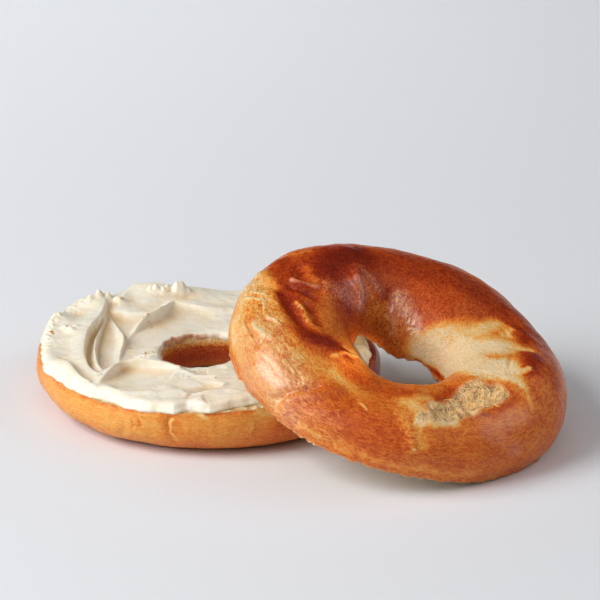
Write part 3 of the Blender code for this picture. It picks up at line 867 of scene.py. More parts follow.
# Folds: path of (degrees round the ring, share of the way over the crust), height, half width
UPPER_FOLDS = (
    # the pinched seam where the ends of the dough were joined
    (((168, 0.36), (171, 0.43), (182, 0.459), (190, 0.474), (197, 0.491)), -1.5 * MM, 2.4 * MM),
    (((177, 0.484), (183, 0.511), (191, 0.534), (201, 0.546)), 0.7 * MM, 0.8 * MM),
    (((178, 0.534), (184, 0.556), (194, 0.569)), -0.7 * MM, 1.5 * MM),
    (((150, 0.42), (157, 0.48), (160, 0.56)), -0.8 * MM, 2.0 * MM),
    (((161, 0.439), (161, 0.474), (159, 0.504), (158, 0.539)), 1.0 * MM, 1.0 * MM),
    (((166, 0.451), (167, 0.511), (168, 0.556)), -0.9 * MM, 1.3 * MM),
    (((158, 0.273), (164, 0.343), (170, 0.386)), 1.0 * MM, 2.6 * MM),
    # its thin crinkles
    (((162, 0.168), (170, 0.271), (175, 0.351), (180, 0.406)), 0.40 * MM, 0.35 * MM),
    (((164, 0.160), (172, 0.262), (177, 0.343), (182, 0.398)), -0.35 * MM, 0.35 * MM),
    (((173, 0.216), (174, 0.263), (176, 0.306), (178, 0.343), (180, 0.368)), 0.35 * MM, 0.5 * MM),
    (((179, 0.343), (185, 0.356), (190, 0.363), (194, 0.376), (197, 0.381)), 0.55 * MM, 0.4 * MM),
    (((180, 0.333), (186, 0.341), (191, 0.348), (194, 0.361)), -0.45 * MM, 0.35 * MM),
    (((179, 0.358), (186, 0.371), (191, 0.379), (197, 0.394)), -0.40 * MM, 0.35 * MM),
    (((184, 0.258), (192, 0.263), (198, 0.266), (202, 0.262)), -0.7 * MM, 0.9 * MM),
    (((183, 0.243), (192, 0.243), (198, 0.241), (203, 0.241)), 0.35 * MM, 0.35 * MM),
    (((203, 0.256), (202, 0.286), (200, 0.316)), -0.4 * MM, 0.6 * MM),
    (((190, 0.290), (197, 0.303), (201, 0.321)), 0.45 * MM, 1.2 * MM),
    (((190, 0.302), (195, 0.314), (199, 0.326)), -0.30 * MM, 0.3 * MM),
    (((190, 0.278), (195, 0.291), (202, 0.293)), -0.30 * MM, 0.3 * MM),
    # the crease across the near left side, with its raised lip
    (((222, 0.10), (226, 0.21), (230, 0.29), (232, 0.37)), -1.0 * MM, 1.5 * MM),
    (((227, 0.08), (230, 0.21), (234, 0.30), (238, 0.40)), 0.8 * MM, 1.8 * MM),
    (((224, 0.135), (226, 0.211), (228, 0.253), (230, 0.288), (232, 0.368)), -0.6 * MM, 0.5 * MM),
    (((226, 0.058), (228, 0.130), (230, 0.208), (232, 0.253)), -0.6 * MM, 0.5 * MM),
    (((233, 0.063), (233, 0.120), (235, 0.213), (236, 0.266)), -0.6 * MM, 0.6 * MM),
    (((231, 0.060), (231, 0.120), (233, 0.205)), 0.5 * MM, 0.7 * MM),
    (((241, 0.218), (244, 0.273), (248, 0.348)), 0.3 * MM, 0.6 * MM),
    # fine wrinkles round the shiny left side
    (((204, 0.321), (210, 0.312), (215, 0.328), (221, 0.316), (226, 0.281)), -0.45 * MM, 0.5 * MM),
    (((206, 0.338), (213, 0.345), (220, 0.335), (227, 0.300)), -0.35 * MM, 0.45 * MM),
    (((205, 0.356), (213, 0.362), (221, 0.352)), -0.35 * MM, 0.45 * MM),
    (((214, 0.298), (219, 0.291), (224, 0.273), (227, 0.241)), -0.40 * MM, 0.45 * MM),
    (((206, 0.240), (216, 0.246), (224, 0.230)), -0.15 * MM, 0.5 * MM),
    # the brow over the hole at the near right, and the torn hollow before it
    (((276, 0.66), (290, 0.66), (302, 0.66), (316, 0.60)), 0.7 * MM, 2.4 * MM),
    (((287, 0.46), (297, 0.49), (307, 0.51), (318, 0.50)), -1.3 * MM, 3.4 * MM),
    (((279, 0.37), (288, 0.38), (297, 0.39), (304, 0.41)), 0.4 * MM, 0.9 * MM),
    # lobes of the wall round the hole
    (((106, 1.00), (110, 0.88), (110, 0.80), (103, 0.70)), -1.3 * MM, 2.6 * MM),
    (((152, 0.98), (143, 0.78), (129, 0.60)), 1.2 * MM, 2.4 * MM),
    (((165, 0.96), (163, 0.80), (160, 0.66)), -0.9 * MM, 2.4 * MM),
    (((136, 0.62), (138, 0.70), (144, 0.80)), 0.45 * MM, 0.6 * MM),
    (((132, 0.63), (134, 0.71), (139, 0.82)), 0.45 * MM, 0.6 * MM),
    (((127, 0.62), (129, 0.72), (133, 0.84)), -0.45 * MM, 0.6 * MM),
    (((101, 0.72), (103, 0.80), (106, 0.90)), 0.40 * MM, 0.5 * MM),
    (((96, 0.74), (97, 0.82), (98, 0.92)), -0.40 * MM, 0.5 * MM),
    (((90, 0.76), (91, 0.84), (91, 0.93)), 0.40 * MM, 0.5 * MM),
    (((222, 0.52), (219, 0.61), (222, 0.69)), 0.5 * MM, 0.8 * MM),
    # fine lines in the stretched skin, a scratch, and a soft crease along the front
    (((350, 0.767), (338, 0.777), (323, 0.739)), -0.45 * MM, 0.4 * MM),
    (((320, 0.619), (325, 0.607), (327, 0.589)), -0.40 * MM, 0.4 * MM),
    (((338, 0.657), (344, 0.642), (348, 0.617)), -0.40 * MM, 0.4 * MM),
    (((356, 0.544), (347, 0.549), (337, 0.534)), -0.60 * MM, 0.5 * MM),
    (((30, 0.480), (25, 0.470), (20, 0.482)), -0.40 * MM, 0.4 * MM),
    (((29, 0.500), (24, 0.499), (18, 0.505)), -0.40 * MM, 0.4 * MM),
    (((248, 0.43), (250, 0.41), (254, 0.37)), 0.35 * MM, 0.45 * MM),
    (((280, 0.434), (284, 0.469), (289, 0.481), (294, 0.491)), -0.6 * MM, 0.5 * MM),
    (((241, 0.24), (246, 0.32), (254, 0.37), (264, 0.37)), 0.35 * MM, 1.0 * MM),
    (((270, 0.36), (272, 0.29), (273, 0.21)), 0.35 * MM, 1.2 * MM),
    # raised dark blisters
    (((22, 0.435), (16, 0.405)), 0.6 * MM, 2.6 * MM),
    (((354, 0.46), (348, 0.46), (342, 0.45)), 0.7 * MM, 3.4 * MM),
    (((2, 0.54), (2, 0.50), (2, 0.44)), -0.5 * MM, 1.2 * MM),
    (((333, 0.516), (336, 0.481), (340, 0.449), (342, 0.419)), -0.4 * MM, 0.8 * MM),
)

# Broad swellings and dents: (degrees, share), height, half width
UPPER_SWELLINGS = (
    ((209, 0.22), 1.2 * MM, 11.0 * MM),
    ((212, 0.14), 0.5 * MM, 7.0 * MM),
    ((330, 0.15), 1.0 * MM, 12.0 * MM),
    ((352, 0.36), 0.8 * MM, 9.0 * MM),
    ((8, 0.66), -0.8 * MM, 10.0 * MM),
    ((255, 0.50), -0.5 * MM, 8.0 * MM),
)

# How baked the crust is, with a little painted shade and highlight: path, bake, half width and soft edge
UPPER_BAKE = (
    # red-brown back and crown, darkest on the far side
    (((175, 0.40), (150, 0.45), (121, 0.50), (86, 0.52), (50, 0.46), (23, 0.40)), 0.82, 9.5 * MM, 8.0 * MM),
    (((96, 0.45), (77, 0.42), (56, 0.43), (35, 0.39)), 0.80, 3.6 * MM, 4.5 * MM),
    (((110, 0.70), (92, 0.68), (70, 0.66), (52, 0.60)), 0.73, 5.0 * MM, 6.0 * MM),
    (((165, 0.78), (145, 0.80), (120, 0.82), (98, 0.86)), 0.68, 8.0 * MM, 5.0 * MM),
    (((100, 0.84), (88, 0.80), (78, 0.76)), 0.60, 3.0 * MM, 3.0 * MM),
    (((97, 0.68), (87, 0.76), (76, 0.81)), 0.82, 3.4 * MM, 2.2 * MM),
    (((127, 0.56), (120, 0.64), (114, 0.70)), 0.90, 3.0 * MM, 2.4 * MM),
    (((118, 0.47), (130, 0.47), (140, 0.52), (146, 0.60), (146, 0.70)), 0.98, 5.0 * MM, 4.6 * MM),
    (((146, 0.278), (152, 0.348), (154, 0.404), (154, 0.449)), 0.84, 2.4 * MM, 2.2 * MM),
    (((148, 0.451), (152, 0.494), (156, 0.534)), 0.60, 1.4 * MM, 1.6 * MM),
    # painted shade in the groove beside the fold, and a painted highlight along the fold's ridge
    (((166, 0.451), (167, 0.511), (168, 0.556)), 0.88, 1.4 * MM, 1.4 * MM),
    (((161, 0.439), (161, 0.474), (159, 0.504), (158, 0.539)), 0.58, 0.7 * MM, 0.8 * MM),
    (((178, 0.534), (184, 0.556), (194, 0.569)), 0.82, 1.6 * MM, 1.4 * MM),
    (((149, 0.216), (145, 0.258), (142, 0.321), (138, 0.361)), 0.40, 0.6 * MM, 1.4 * MM),
    # golden crinkled seam at the left
    (((160, 0.20), (172, 0.22), (186, 0.18), (198, 0.14)), 0.40, 4.0 * MM, 4.0 * MM),
    (((170, 0.34), (182, 0.38), (196, 0.40)), 0.50, 3.0 * MM, 2.4 * MM),
    (((158, 0.260), (164, 0.335), (169, 0.376)), 0.42, 2.2 * MM, 1.6 * MM),
    (((172, 0.430), (182, 0.465), (190, 0.485), (198, 0.500)), 0.92, 2.2 * MM, 2.0 * MM),
    (((177, 0.484), (183, 0.511), (191, 0.534), (201, 0.546)), 0.34, 0.3 * MM, 0.7 * MM),
    (((162, 0.168), (170, 0.271), (175, 0.351), (180, 0.406)), 0.10, 0.25 * MM, 0.4 * MM),
    (((171, 0.230), (174, 0.275), (176, 0.306), (179, 0.368)), 0.14, 0.5 * MM, 0.7 * MM),
    (((173, 0.351), (177, 0.378)), 0.72, 0.2 * MM, 0.4 * MM),
    (((180, 0.296), (185, 0.311), (190, 0.320)), 0.54, 1.3 * MM, 1.0 * MM),
    (((179, 0.343), (185, 0.356), (190, 0.363), (194, 0.376), (197, 0.381)), 0.06, 0.3 * MM, 0.4 * MM),
    (((179, 0.358), (186, 0.371), (191, 0.379), (197, 0.394)), 0.66, 0.3 * MM, 0.4 * MM),
    (((182, 0.195), (186, 0.160), (190, 0.108)), 0.28, 1.6 * MM, 2.0 * MM),
    (((184, 0.258), (192, 0.263), (198, 0.266), (202, 0.262)), 0.56, 0.9 * MM, 0.6 * MM),
    (((183, 0.243), (192, 0.243), (198, 0.241), (203, 0.241)), 0.12, 0.25 * MM, 0.4 * MM),
    (((191, 0.292), (197, 0.303), (201, 0.321)), 0.24, 1.2 * MM, 0.9 * MM),
    (((190, 0.302), (195, 0.314), (199, 0.326)), 0.60, 0.15 * MM, 0.3 * MM),
    (((203, 0.256), (202, 0.286), (200, 0.316)), 0.52, 0.6 * MM, 0.6 * MM),
    (((201, 0.356), (204, 0.338)), 0.74, 0.5 * MM, 0.7 * MM),
    # left side under the highlight, the dark lip of the hole, and the gold below it
    (((207, 0.22), (214, 0.18), (222, 0.17)), 0.50, 6.0 * MM, 5.0 * MM),
    (((192, 0.42), (198, 0.42), (207, 0.416)), 0.53, 2.2 * MM, 2.0 * MM),
    (((200, 0.435), (209, 0.485), (216, 0.525)), 0.70, 3.0 * MM, 3.2 * MM),
    (((203, 0.475), (208, 0.524), (212, 0.569), (219, 0.607)), 0.92, 2.8 * MM, 2.4 * MM),
    (((216, 0.385), (224, 0.43), (234, 0.47), (246, 0.465)), 0.44, 3.0 * MM, 3.0 * MM),
    (((231, 0.475), (236, 0.475), (240, 0.486)), 0.16, 1.0 * MM, 1.7 * MM),
    (((222, 0.52), (219, 0.61), (222, 0.69), (226, 0.76)), 0.30, 0.7 * MM, 0.9 * MM),
    (((213, 0.63), (216, 0.70), (228, 0.71)), 0.28, 0.6 * MM, 0.8 * MM),
    (((238, 0.38), (250, 0.37), (262, 0.34), (268, 0.27)), 0.66, 3.4 * MM, 4.0 * MM),
    # the right side: gold, then pale stretched skin, then dark blisters
    (((80, 0.79), (66, 0.75), (50, 0.66), (38, 0.55)), 0.72, 3.4 * MM, 4.5 * MM),
    (((62, 0.93), (46, 0.81), (34, 0.68), (28, 0.54)), 0.32, 2.8 * MM, 4.0 * MM),
    (((50, 0.93), (28, 0.82), (8, 0.70), (4, 0.58)), 0.02, 5.6 * MM, 4.0 * MM),
    (((7, 0.90), (345, 0.78), (330, 0.64), (336, 0.54)), 0.0, 5.0 * MM, 3.0 * MM),
    (((18, 0.510), (22, 0.494), (25, 0.470)), 0.22, 1.6 * MM, 1.6 * MM),
    (((30, 0.480), (25, 0.470), (20, 0.482)), 0.46, 0.2 * MM, 0.4 * MM),
    (((348, 0.33), (341, 0.25), (332, 0.17), (318, 0.10)), 0.62, 7.0 * MM, 6.0 * MM),
    (((34, 0.40), (23, 0.38), (12, 0.37), (355, 0.36), (343, 0.33)), 0.72, 2.2 * MM, 3.0 * MM),
    (((24, 0.42), (18, 0.42), (12, 0.45)), 0.86, 1.6 * MM, 1.4 * MM),
    (((355, 0.455), (349, 0.455), (342, 0.445)), 0.86, 3.3 * MM, 2.0 * MM),
    (((2, 0.55), (2, 0.51), (3, 0.475), (3, 0.44)), 0.20, 0.9 * MM, 0.9 * MM),
    (((356, 0.544), (347, 0.549), (337, 0.534)), 0.50, 0.25 * MM, 0.4 * MM),
    (((336, 0.520), (337, 0.485), (341, 0.454)), 0.10, 0.9 * MM, 0.8 * MM),
    (((333, 0.516), (336, 0.481), (340, 0.449), (342, 0.419)), 0.48, 0.2 * MM, 0.4 * MM),
    (((336, 0.56), (331, 0.50), (330, 0.44)), 0.10, 1.5 * MM, 1.3 * MM),
    (((330, 0.426), (327, 0.383), (326, 0.348), (324, 0.316)), 0.28, 0.5 * MM, 0.9 * MM),
    (((334, 0.411), (333, 0.376), (330, 0.341)), 0.62, 1.4 * MM, 1.4 * MM),
    (((322, 0.454), (322, 0.421), (318, 0.404)), 0.70, 1.3 * MM, 1.0 * MM),
    (((320, 0.358), (320, 0.321)), 0.34, 0.5 * MM, 0.7 * MM),
    (((350, 0.767), (338, 0.777), (323, 0.739)), 0.40, 0.2 * MM, 0.3 * MM),
    (((320, 0.619), (325, 0.607), (327, 0.589)), 0.46, 0.2 * MM, 0.3 * MM),
    (((338, 0.657), (344, 0.642), (348, 0.617)), 0.40, 0.2 * MM, 0.3 * MM),
    (((37, 0.767), (29, 0.757), (26, 0.727)), 0.24, 1.2 * MM, 2.0 * MM),
    (((28, 0.642), (28, 0.576), (30, 0.506)), 0.16, 2.0 * MM, 2.4 * MM),
    (((58, 0.99), (36, 0.98), (20, 0.965), (12, 0.96)), 0.84, 0.9 * MM, 1.0 * MM),
    # the front: brow, torn patch and the yellow crinkles beside it
    (((234, 0.20), (250, 0.20), (266, 0.18)), 0.68, 7.5 * MM, 6.0 * MM),
    (((240, 0.55), (256, 0.56), (270, 0.56)), 0.70, 4.0 * MM, 4.0 * MM),
    (((282, 0.14), (300, 0.20), (320, 0.20)), 0.61, 8.0 * MM, 6.0 * MM),
    (((279, 0.505), (285, 0.545), (292, 0.575), (298, 0.60)), 0.76, 2.4 * MM, 1.8 * MM),
    (((268, 0.50), (274, 0.52), (280, 0.54)), 0.36, 2.2 * MM, 1.8 * MM),
    (((272, 0.481), (275, 0.434), (280, 0.393)), 0.24, 1.8 * MM, 1.6 * MM),
    (((274, 0.38), (275, 0.32), (277, 0.25), (277, 0.21)), 0.30, 0.9 * MM, 1.6 * MM),
    (((275, 0.385), (282, 0.400), (290, 0.410)), 0.08, 2.4 * MM, 1.2 * MM),
    (((273, 0.19), (273.4, 0.185)), 0.02, 0.3 * MM, 0.4 * MM),
    (((302, 0.398), (309, 0.402), (317, 0.404)), 0.70, 1.1 * MM, 1.0 * MM),
    (((248, 0.43), (250, 0.41), (254, 0.37)), 0.12, 0.3 * MM, 0.4 * MM),
    (((280, 0.434), (284, 0.469), (289, 0.481), (294, 0.491)), 0.66, 0.3 * MM, 0.5 * MM),
    (((234, 0.07), (257, 0.05), (277, 0.06), (296, 0.07)), 0.44, 1.0 * MM, 1.8 * MM),
)

# Where the glaze is thick and shiny, from 0 to 1
UPPER_GLOSS = (
    (((198, 0.26), (208, 0.19), (216, 0.17), (226, 0.17)), 0.82, 9.0 * MM, 4.5 * MM),
    (((231, 0.22), (239, 0.22), (247, 0.24)), 0.12, 3.0 * MM, 3.0 * MM),
    (((152, 0.58), (146, 0.66), (140, 0.74)), 0.45, 2.6 * MM, 2.4 * MM),
    (((126, 0.58), (120, 0.64), (114, 0.70)), 0.35, 1.8 * MM, 2.0 * MM),
    (((97, 0.69), (87, 0.77), (76, 0.82)), 0.9, 2.4 * MM, 2.0 * MM),
    (((100, 0.72), (101, 0.81), (99, 0.87)), 0.9, 1.4 * MM, 1.4 * MM),
    (((304, 0.353), (311, 0.348), (318, 0.336)), 0.5, 3.0 * MM, 3.0 * MM),
    (((304, 0.31), (308, 0.25), (312, 0.20)), 0.4, 2.5 * MM, 2.0 * MM),
    (((161, 0.44), (160, 0.49), (158, 0.54)), 1.0, 0.8 * MM, 0.8 * MM),
    (((138, 0.632), (132, 0.652), (132, 0.694), (140, 0.767)), 1.0, 1.6 * MM, 1.6 * MM),
    (((190, 0.29), (197, 0.303), (201, 0.321)), 1.0, 1.4 * MM, 1.0 * MM),
)

# Where the skin is torn to strands: path, amount, half width and soft edge
UPPER_TORN = (
    (((284, 0.455), (290, 0.468), (302, 0.488), (311, 0.496), (316, 0.488)), 1.0, 4.2 * MM, 1.2 * MM),
    (((300, 0.53), (307, 0.56), (314, 0.56)), 0.95, 2.6 * MM, 1.2 * MM),
    (((277, 0.405), (283, 0.425), (291, 0.432), (300, 0.436)), 0.9, 2.2 * MM, 1.2 * MM),
)

# Where the skin is crinkled, from 0 to 1
UPPER_CRINKLE = (
    (((162, 0.22), (172, 0.28), (182, 0.31), (194, 0.34)), 1.4, 4.5 * MM, 3.0 * MM),
    (((177, 0.484), (183, 0.511), (191, 0.534)), 1.2, 1.2 * MM, 1.2 * MM),
    (((178, 0.24), (190, 0.25), (200, 0.29)), 1.4, 2.5 * MM, 2.0 * MM),
    (((185, 0.15), (205, 0.22), (225, 0.18)), 0.7, 9.0 * MM, 6.0 * MM),
    (((204, 0.353), (213, 0.351), (222, 0.323), (229, 0.25)), 1.0, 3.5 * MM, 3.0 * MM),
    (((225, 0.10), (235, 0.12), (245, 0.10)), 0.9, 5.0 * MM, 4.0 * MM),
    (((150, 0.62), (140, 0.70), (112, 0.82), (98, 0.88)), 1.0, 5.0 * MM, 5.0 * MM),
    (((152, 0.58), (146, 0.66), (140, 0.74)), 1.4, 2.6 * MM, 2.4 * MM),
    (((126, 0.58), (120, 0.64), (114, 0.70)), 1.4, 1.8 * MM, 2.0 * MM),
    (((97, 0.69), (87, 0.77), (76, 0.82)), 1.6, 2.4 * MM, 2.0 * MM),
    (((45, 0.86), (28, 0.78), (7, 0.78), (345, 0.70), (330, 0.60)), 0.9, 6.0 * MM, 4.0 * MM),
    (((268, 0.40), (272, 0.30), (273, 0.20)), 0.9, 2.0 * MM, 2.0 * MM),
    (((320, 0.20), (340, 0.30)), 0.4, 6.0 * MM, 5.0 * MM),
)


def upper_crust(angle, share):
    """Crust of the upper half: 0 is its outer cut rim, 1 the rim of its hole."""
    outer = UPPER_RADIUS * (1.0 + waves(angle, UPPER_OUTLINE_WAVES))
    hole = UPPER_HOLE * (1.0 + waves(angle, UPPER_HOLE_WAVES))
    crown = hole + (outer - hole) * UPPER_CROWN
    rise = UPPER_HEIGHT * (1.0 + waves(angle, UPPER_HEIGHT_WAVES)) - UPPER_WAIST
    wall = UPPER_WALL_SHARE
    turn = math.pi * np.clip((share - wall) / (1.0 - 2.0 * wall), 0.0, 1.0)
    along, up = rounded_arch(turn, crown - hole, outer - crown, rise, UPPER_FULLNESS)
    down_outer = np.clip(1.0 - share / wall, 0.0, 1.0)
    down_inner = np.clip(1.0 - (1.0 - share) / wall, 0.0, 1.0)
    radius = crown + along
    radius = radius - UPPER_RIM_DRAW * down_outer**2 + UPPER_HOLE_DRAW * down_inner**2
    height = up + UPPER_WAIST * (1.0 - down_outer - down_inner)
    return ring_points(angle, radius, height + waves(angle, UPPER_CUT_WAVES))


def upper_half_piece():
    """The upper half, leaned over, with how baked, torn and crinkled each place is."""
    steps_round, steps_crust, steps_cut = UPPER_STEPS
    angle, share = grid(steps_round, np.linspace(0.0, 1.0, steps_crust), 245.0, 0.45)
    plain = upper_crust(angle, share)
    ragged = lumps(plain, 3.0 * MM, 0.5) + lumps(plain, 1.2 * MM, 0.4)
    torn = layered(upper_crust, plain, 0.0 * share, UPPER_TORN, ragged)
    crinkle = layered(upper_crust, plain, 0.35 + 0.0 * share, UPPER_CRINKLE, ragged)
    gloss = layered(upper_crust, plain, 0.04 + 0.0 * share, UPPER_GLOSS, ragged)
    bake = layered(upper_crust, plain, 0.56 + 0.0 * share, UPPER_BAKE, ragged)

    relief = fold_relief(upper_crust, plain, UPPER_FOLDS)
    for (degrees, place), height, half_width in UPPER_SWELLINGS:
        centre = upper_crust(np.radians(degrees), place)
        relief += height * bump(np.linalg.norm(plain - centre, axis=-1), half_width)
    relief += lumps(plain, 14.0 * MM, UPPER_LUMPS) + lumps(plain, 4.5 * MM, 0.22 * MM)
    drawn = 1.0 - 2.0 * np.abs(lumps(plain * np.array([1.0, 0.6, 0.6]), 3.6 * MM, 1.4))
    relief += torn * (drawn - 0.6) * 0.50 * MM
    crests = 1.0 - 2.4 * np.abs(lumps(plain, 1.8 * MM, 1.0))
    relief += np.clip(crinkle - 1.0, 0.0, 1.2) * np.clip(crests, 0.0, 1.0) * 0.40 * MM
    to_rim = np.minimum(share, 1.0 - share)
    relief *= np.clip(to_rim / 0.04, 0.25, 1.0)
    rim = np.exp(-to_rim / 0.016)
    relief += rim * (lumps(plain, 3.0 * MM, 0.5 * MM) + lumps(plain, 1.2 * MM, 0.35 * MM))
    crust = plain + outward(plain) * relief[..., None]
    crust[..., 2] -= rim * lumps(plain, 2.0 * MM, 0.6 * MM)
    cut = cut_between(crust, steps_cut)
    cut[..., 2] += lumps(cut, 9.0 * MM, UPPER_CUT_LUMPS) + np.abs(lumps(cut, 1.8 * MM, 0.4 * MM))
    rings = np.concatenate([crust, cut], 1)
    pose = np.array(upper_pose())
    placed = rings @ pose[:3, :3].T + pose[:3, 3]
    placed[..., 2] = np.maximum(placed[..., 2], 0.0)
    beside = np.zeros(cut.shape[:2])
    bitten = np.clip(1.0 - to_rim / 0.010 + ragged * 0.6, 0.0, 1.0) * 0.7
    crumbs_at_rim = np.clip(1.0 - to_rim / 0.012, 0.0, 1.0) * np.clip(ragged, 0.0, 1.0)
    crumbs_at_rim *= placed[:, :steps_crust, 2] > 1.2 * MM
    return ring_piece(
        "upper_half",
        placed,
        False,
        {
            "bake": np.concatenate([bake, beside], 1),
            "crumb": np.concatenate([bitten, beside + 1.0], 1),
            "torn": np.concatenate([torn, beside], 1),
            "crinkle": np.concatenate([crinkle, beside], 1),
            "gloss": np.concatenate([gloss, beside], 1),
            "lie": np.concatenate([lie_of(angle, share * 62.0 * MM), cut], 1),
            "crumbs": np.concatenate([crumbs_at_rim, beside], 1),
        },
    )


upper_half = upper_half_piece()
upper_half.data.materials.append(crust_finish("glazed crust", 1.0, 0.23))
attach(upper_half, "root")
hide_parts("bagel_upper_half")


# Torn strands
# Thin threads of dough across the place where the skin tore open as it baked. They stretched
# from one side of the tear to the other and dried there.

STRANDS_PER_AREA = 0.6e6
STRAND_LENGTH = 4.2 * MM
STRAND_RADIUS = 0.15 * MM
STRAND_LIFT = 0.10 * MM
STRAND_BEND = 0.55


def tree_with(name, sizes):
    """A new node tree that takes and gives geometry, with a named input for each size."""
    tree = bpy.data.node_groups.new(name, "GeometryNodeTree")
    sockets = tree.interface
    sockets.new_socket("Geometry", in_out="INPUT", socket_type="NodeSocketGeometry")
    for size in sizes:
        sockets.new_socket(size, in_out="INPUT", socket_type="NodeSocketFloat")
    sockets.new_socket("Geometry", in_out="OUTPUT", socket_type="NodeSocketGeometry")
    return tree


def given(tree, name):
    """One of a tree's inputs."""
    return Wire(tree).make("NodeGroupInput", {}, {}, name)


def random_between(tree, low, high, seed):
    """A random number for each point."""
    sockets = {2: low, 3: high, 8: seed}
    return Wire(tree).make("FunctionNodeRandomValue", {"data_type": "FLOAT"}, sockets, 1)


def ended(tree, result, material):
    """The end of a tree: real geometry of this material."""
    real = result.make("GeometryNodeRealizeInstances", {}, {"Geometry": result})
    smooth = real.make("GeometryNodeSetShadeSmooth", {}, {"Geometry": real})
    last = smooth.make("GeometryNodeSetMaterial", {}, {"Geometry": smooth, "Material": material})
    last.make("NodeGroupOutput", {}, {"Geometry": last}, None)


def grown(name, tree, ground, sizes):
    """Plain piece that a tree makes on the mesh of another piece."""
    seedbed = bpy.data.objects.new(name, ground.data)
    bpy.context.scene.collection.objects.link(seedbed)
    growth = seedbed.modifiers.new(name, "NODES")
    growth.node_group = tree
    for socket in tree.interface.items_tree:
        if socket.in_out == "INPUT" and socket.name in sizes:
            growth[socket.identifier] = sizes[socket.name]
    view = bpy.context.evaluated_depsgraph_get()
    data = bpy.data.meshes.new_from_object(seedbed.evaluated_get(view))
    bpy.data.objects.remove(seedbed)
    data.name = name
    piece = bpy.data.objects.new(name, data)
    bpy.context.scene.collection.objects.link(piece)
    return piece


def strand_tree(material):
    """Arched threads that lie over the torn skin."""
    sizes = ("Strands per Area", "Length", "Radius", "Lift", "Bend")
    tree = tree_with("torn strands", sizes)
    skin = given(tree, "Geometry")
    torn = skin.make(
        "GeometryNodeInputNamedAttribute", {"data_type": "FLOAT"}, {"Name": "torn"}
    )
    chance = torn.above(0.92, 1.0) * given(tree, "Strands per Area")
    spots = skin.make(
        "GeometryNodeDistributePointsOnFaces", {}, {"Mesh": skin, "Density": chance, "Seed": 7}
    )
    bend = skin.make("ShaderNodeCombineXYZ", {}, {"Y": given(tree, "Bend")})
    thread = skin.make(
        "GeometryNodeCurveQuadraticBezier",
        {},
        {"Resolution": 9, "Start": (-0.5, 0.0, 0.0), "Middle": bend, "End": (0.5, 0.0, 0.0)},
    )
    turn = skin.make("ShaderNodeCombineXYZ", {}, {"Z": random_between(tree, 0.0, 6.283, 3)})
    turn = turn.make("FunctionNodeEulerToRotation", {}, {"Euler": turn})
    lie = turn.make(
        "FunctionNodeRotateRotation",
        {"rotation_space": "LOCAL"},
        {"Rotation": spots.beside("Rotation"), "Rotate By": turn},
    )
    length = given(tree, "Length") * random_between(tree, 0.5, 1.25, 5)
    laid = spots.make(
        "GeometryNodeInstanceOnPoints",
        {},
        {"Points": spots, "Instance": thread, "Rotation": lie, "Scale": length},
    )
    curves = laid.make("GeometryNodeRealizeInstances", {}, {"Geometry": laid})
    touched = curves.make("GeometryNodeProximity", {"target_element": "FACES"}, {0: skin})
    along = curves.make("GeometryNodeSplineParameter", {}, {}) * math.pi
    rise = along.math("SINE", along) * given(tree, "Lift")
    lift = rise.make("ShaderNodeCombineXYZ", {}, {"Y": rise * -0.3, "Z": rise})
    draped = curves.make(
        "GeometryNodeSetPosition", {}, {"Geometry": curves, "Position": touched, "Offset": lift}
    )
    round_section = skin.make(
        "GeometryNodeCurvePrimitiveCircle", {}, {"Resolution": 5, "Radius": given(tree, "Radius")}
    )
    tube = draped.make(
        "GeometryNodeCurveToMesh",
        {},
        {"Curve": draped, "Profile Curve": round_section, "Fill Caps": True},
    )
    ended(tree, tube, material)
    return tree


def strand_finish():
    """Dried dough: cream, a little golden along some threads."""
    material = bpy.data.materials.new("dried dough")
    material.use_nodes = True
    tree = material.node_tree
    shader = tree.nodes["Principled BSDF"]
    place = Wire(tree).make("ShaderNodeTexCoord", {}, {}, 3)
    golden = place.grain(2.0 * MM, 2.0, 0.6).above(0.45, 0.65)
    colour = golden.blend((0.95, 0.65, 0.31, 1.0), (0.86, 0.44, 0.12, 1.0))
    tree.links.new(colour.socket, shader.inputs["Base Color"])
    dull = place.grain(0.8 * MM, 2.0, 0.6) * 0.3 + 0.35
    tree.links.new(dull.socket, shader.inputs["Roughness"])
    shader.inputs["Subsurface Weight"].default_value = 0.3
    shader.inputs["Subsurface Radius"].default_value = (1.0, 0.6, 0.3)
    shader.inputs["Subsurface Scale"].default_value = 0.8 * MM
    return material


strand_sizes = {
    "Strands per Area": STRANDS_PER_AREA,
    "Length": STRAND_LENGTH,
    "Radius": STRAND_RADIUS,
    "Lift": STRAND_LIFT,
    "Bend": STRAND_BEND,
}
torn_strands = grown("torn_strands", strand_tree(strand_finish()), upper_half, strand_sizes)
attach(torn_strands, "root")


# Crumbs
# Bits of crust and bread that the saw knife and the spreading left behind: a few on the peaks
# and in the hollows of the cheese, and more along the cut rims.

CRUMB_SIZE = 0.36 * MM
CRUMB_UNEVEN = 0.5


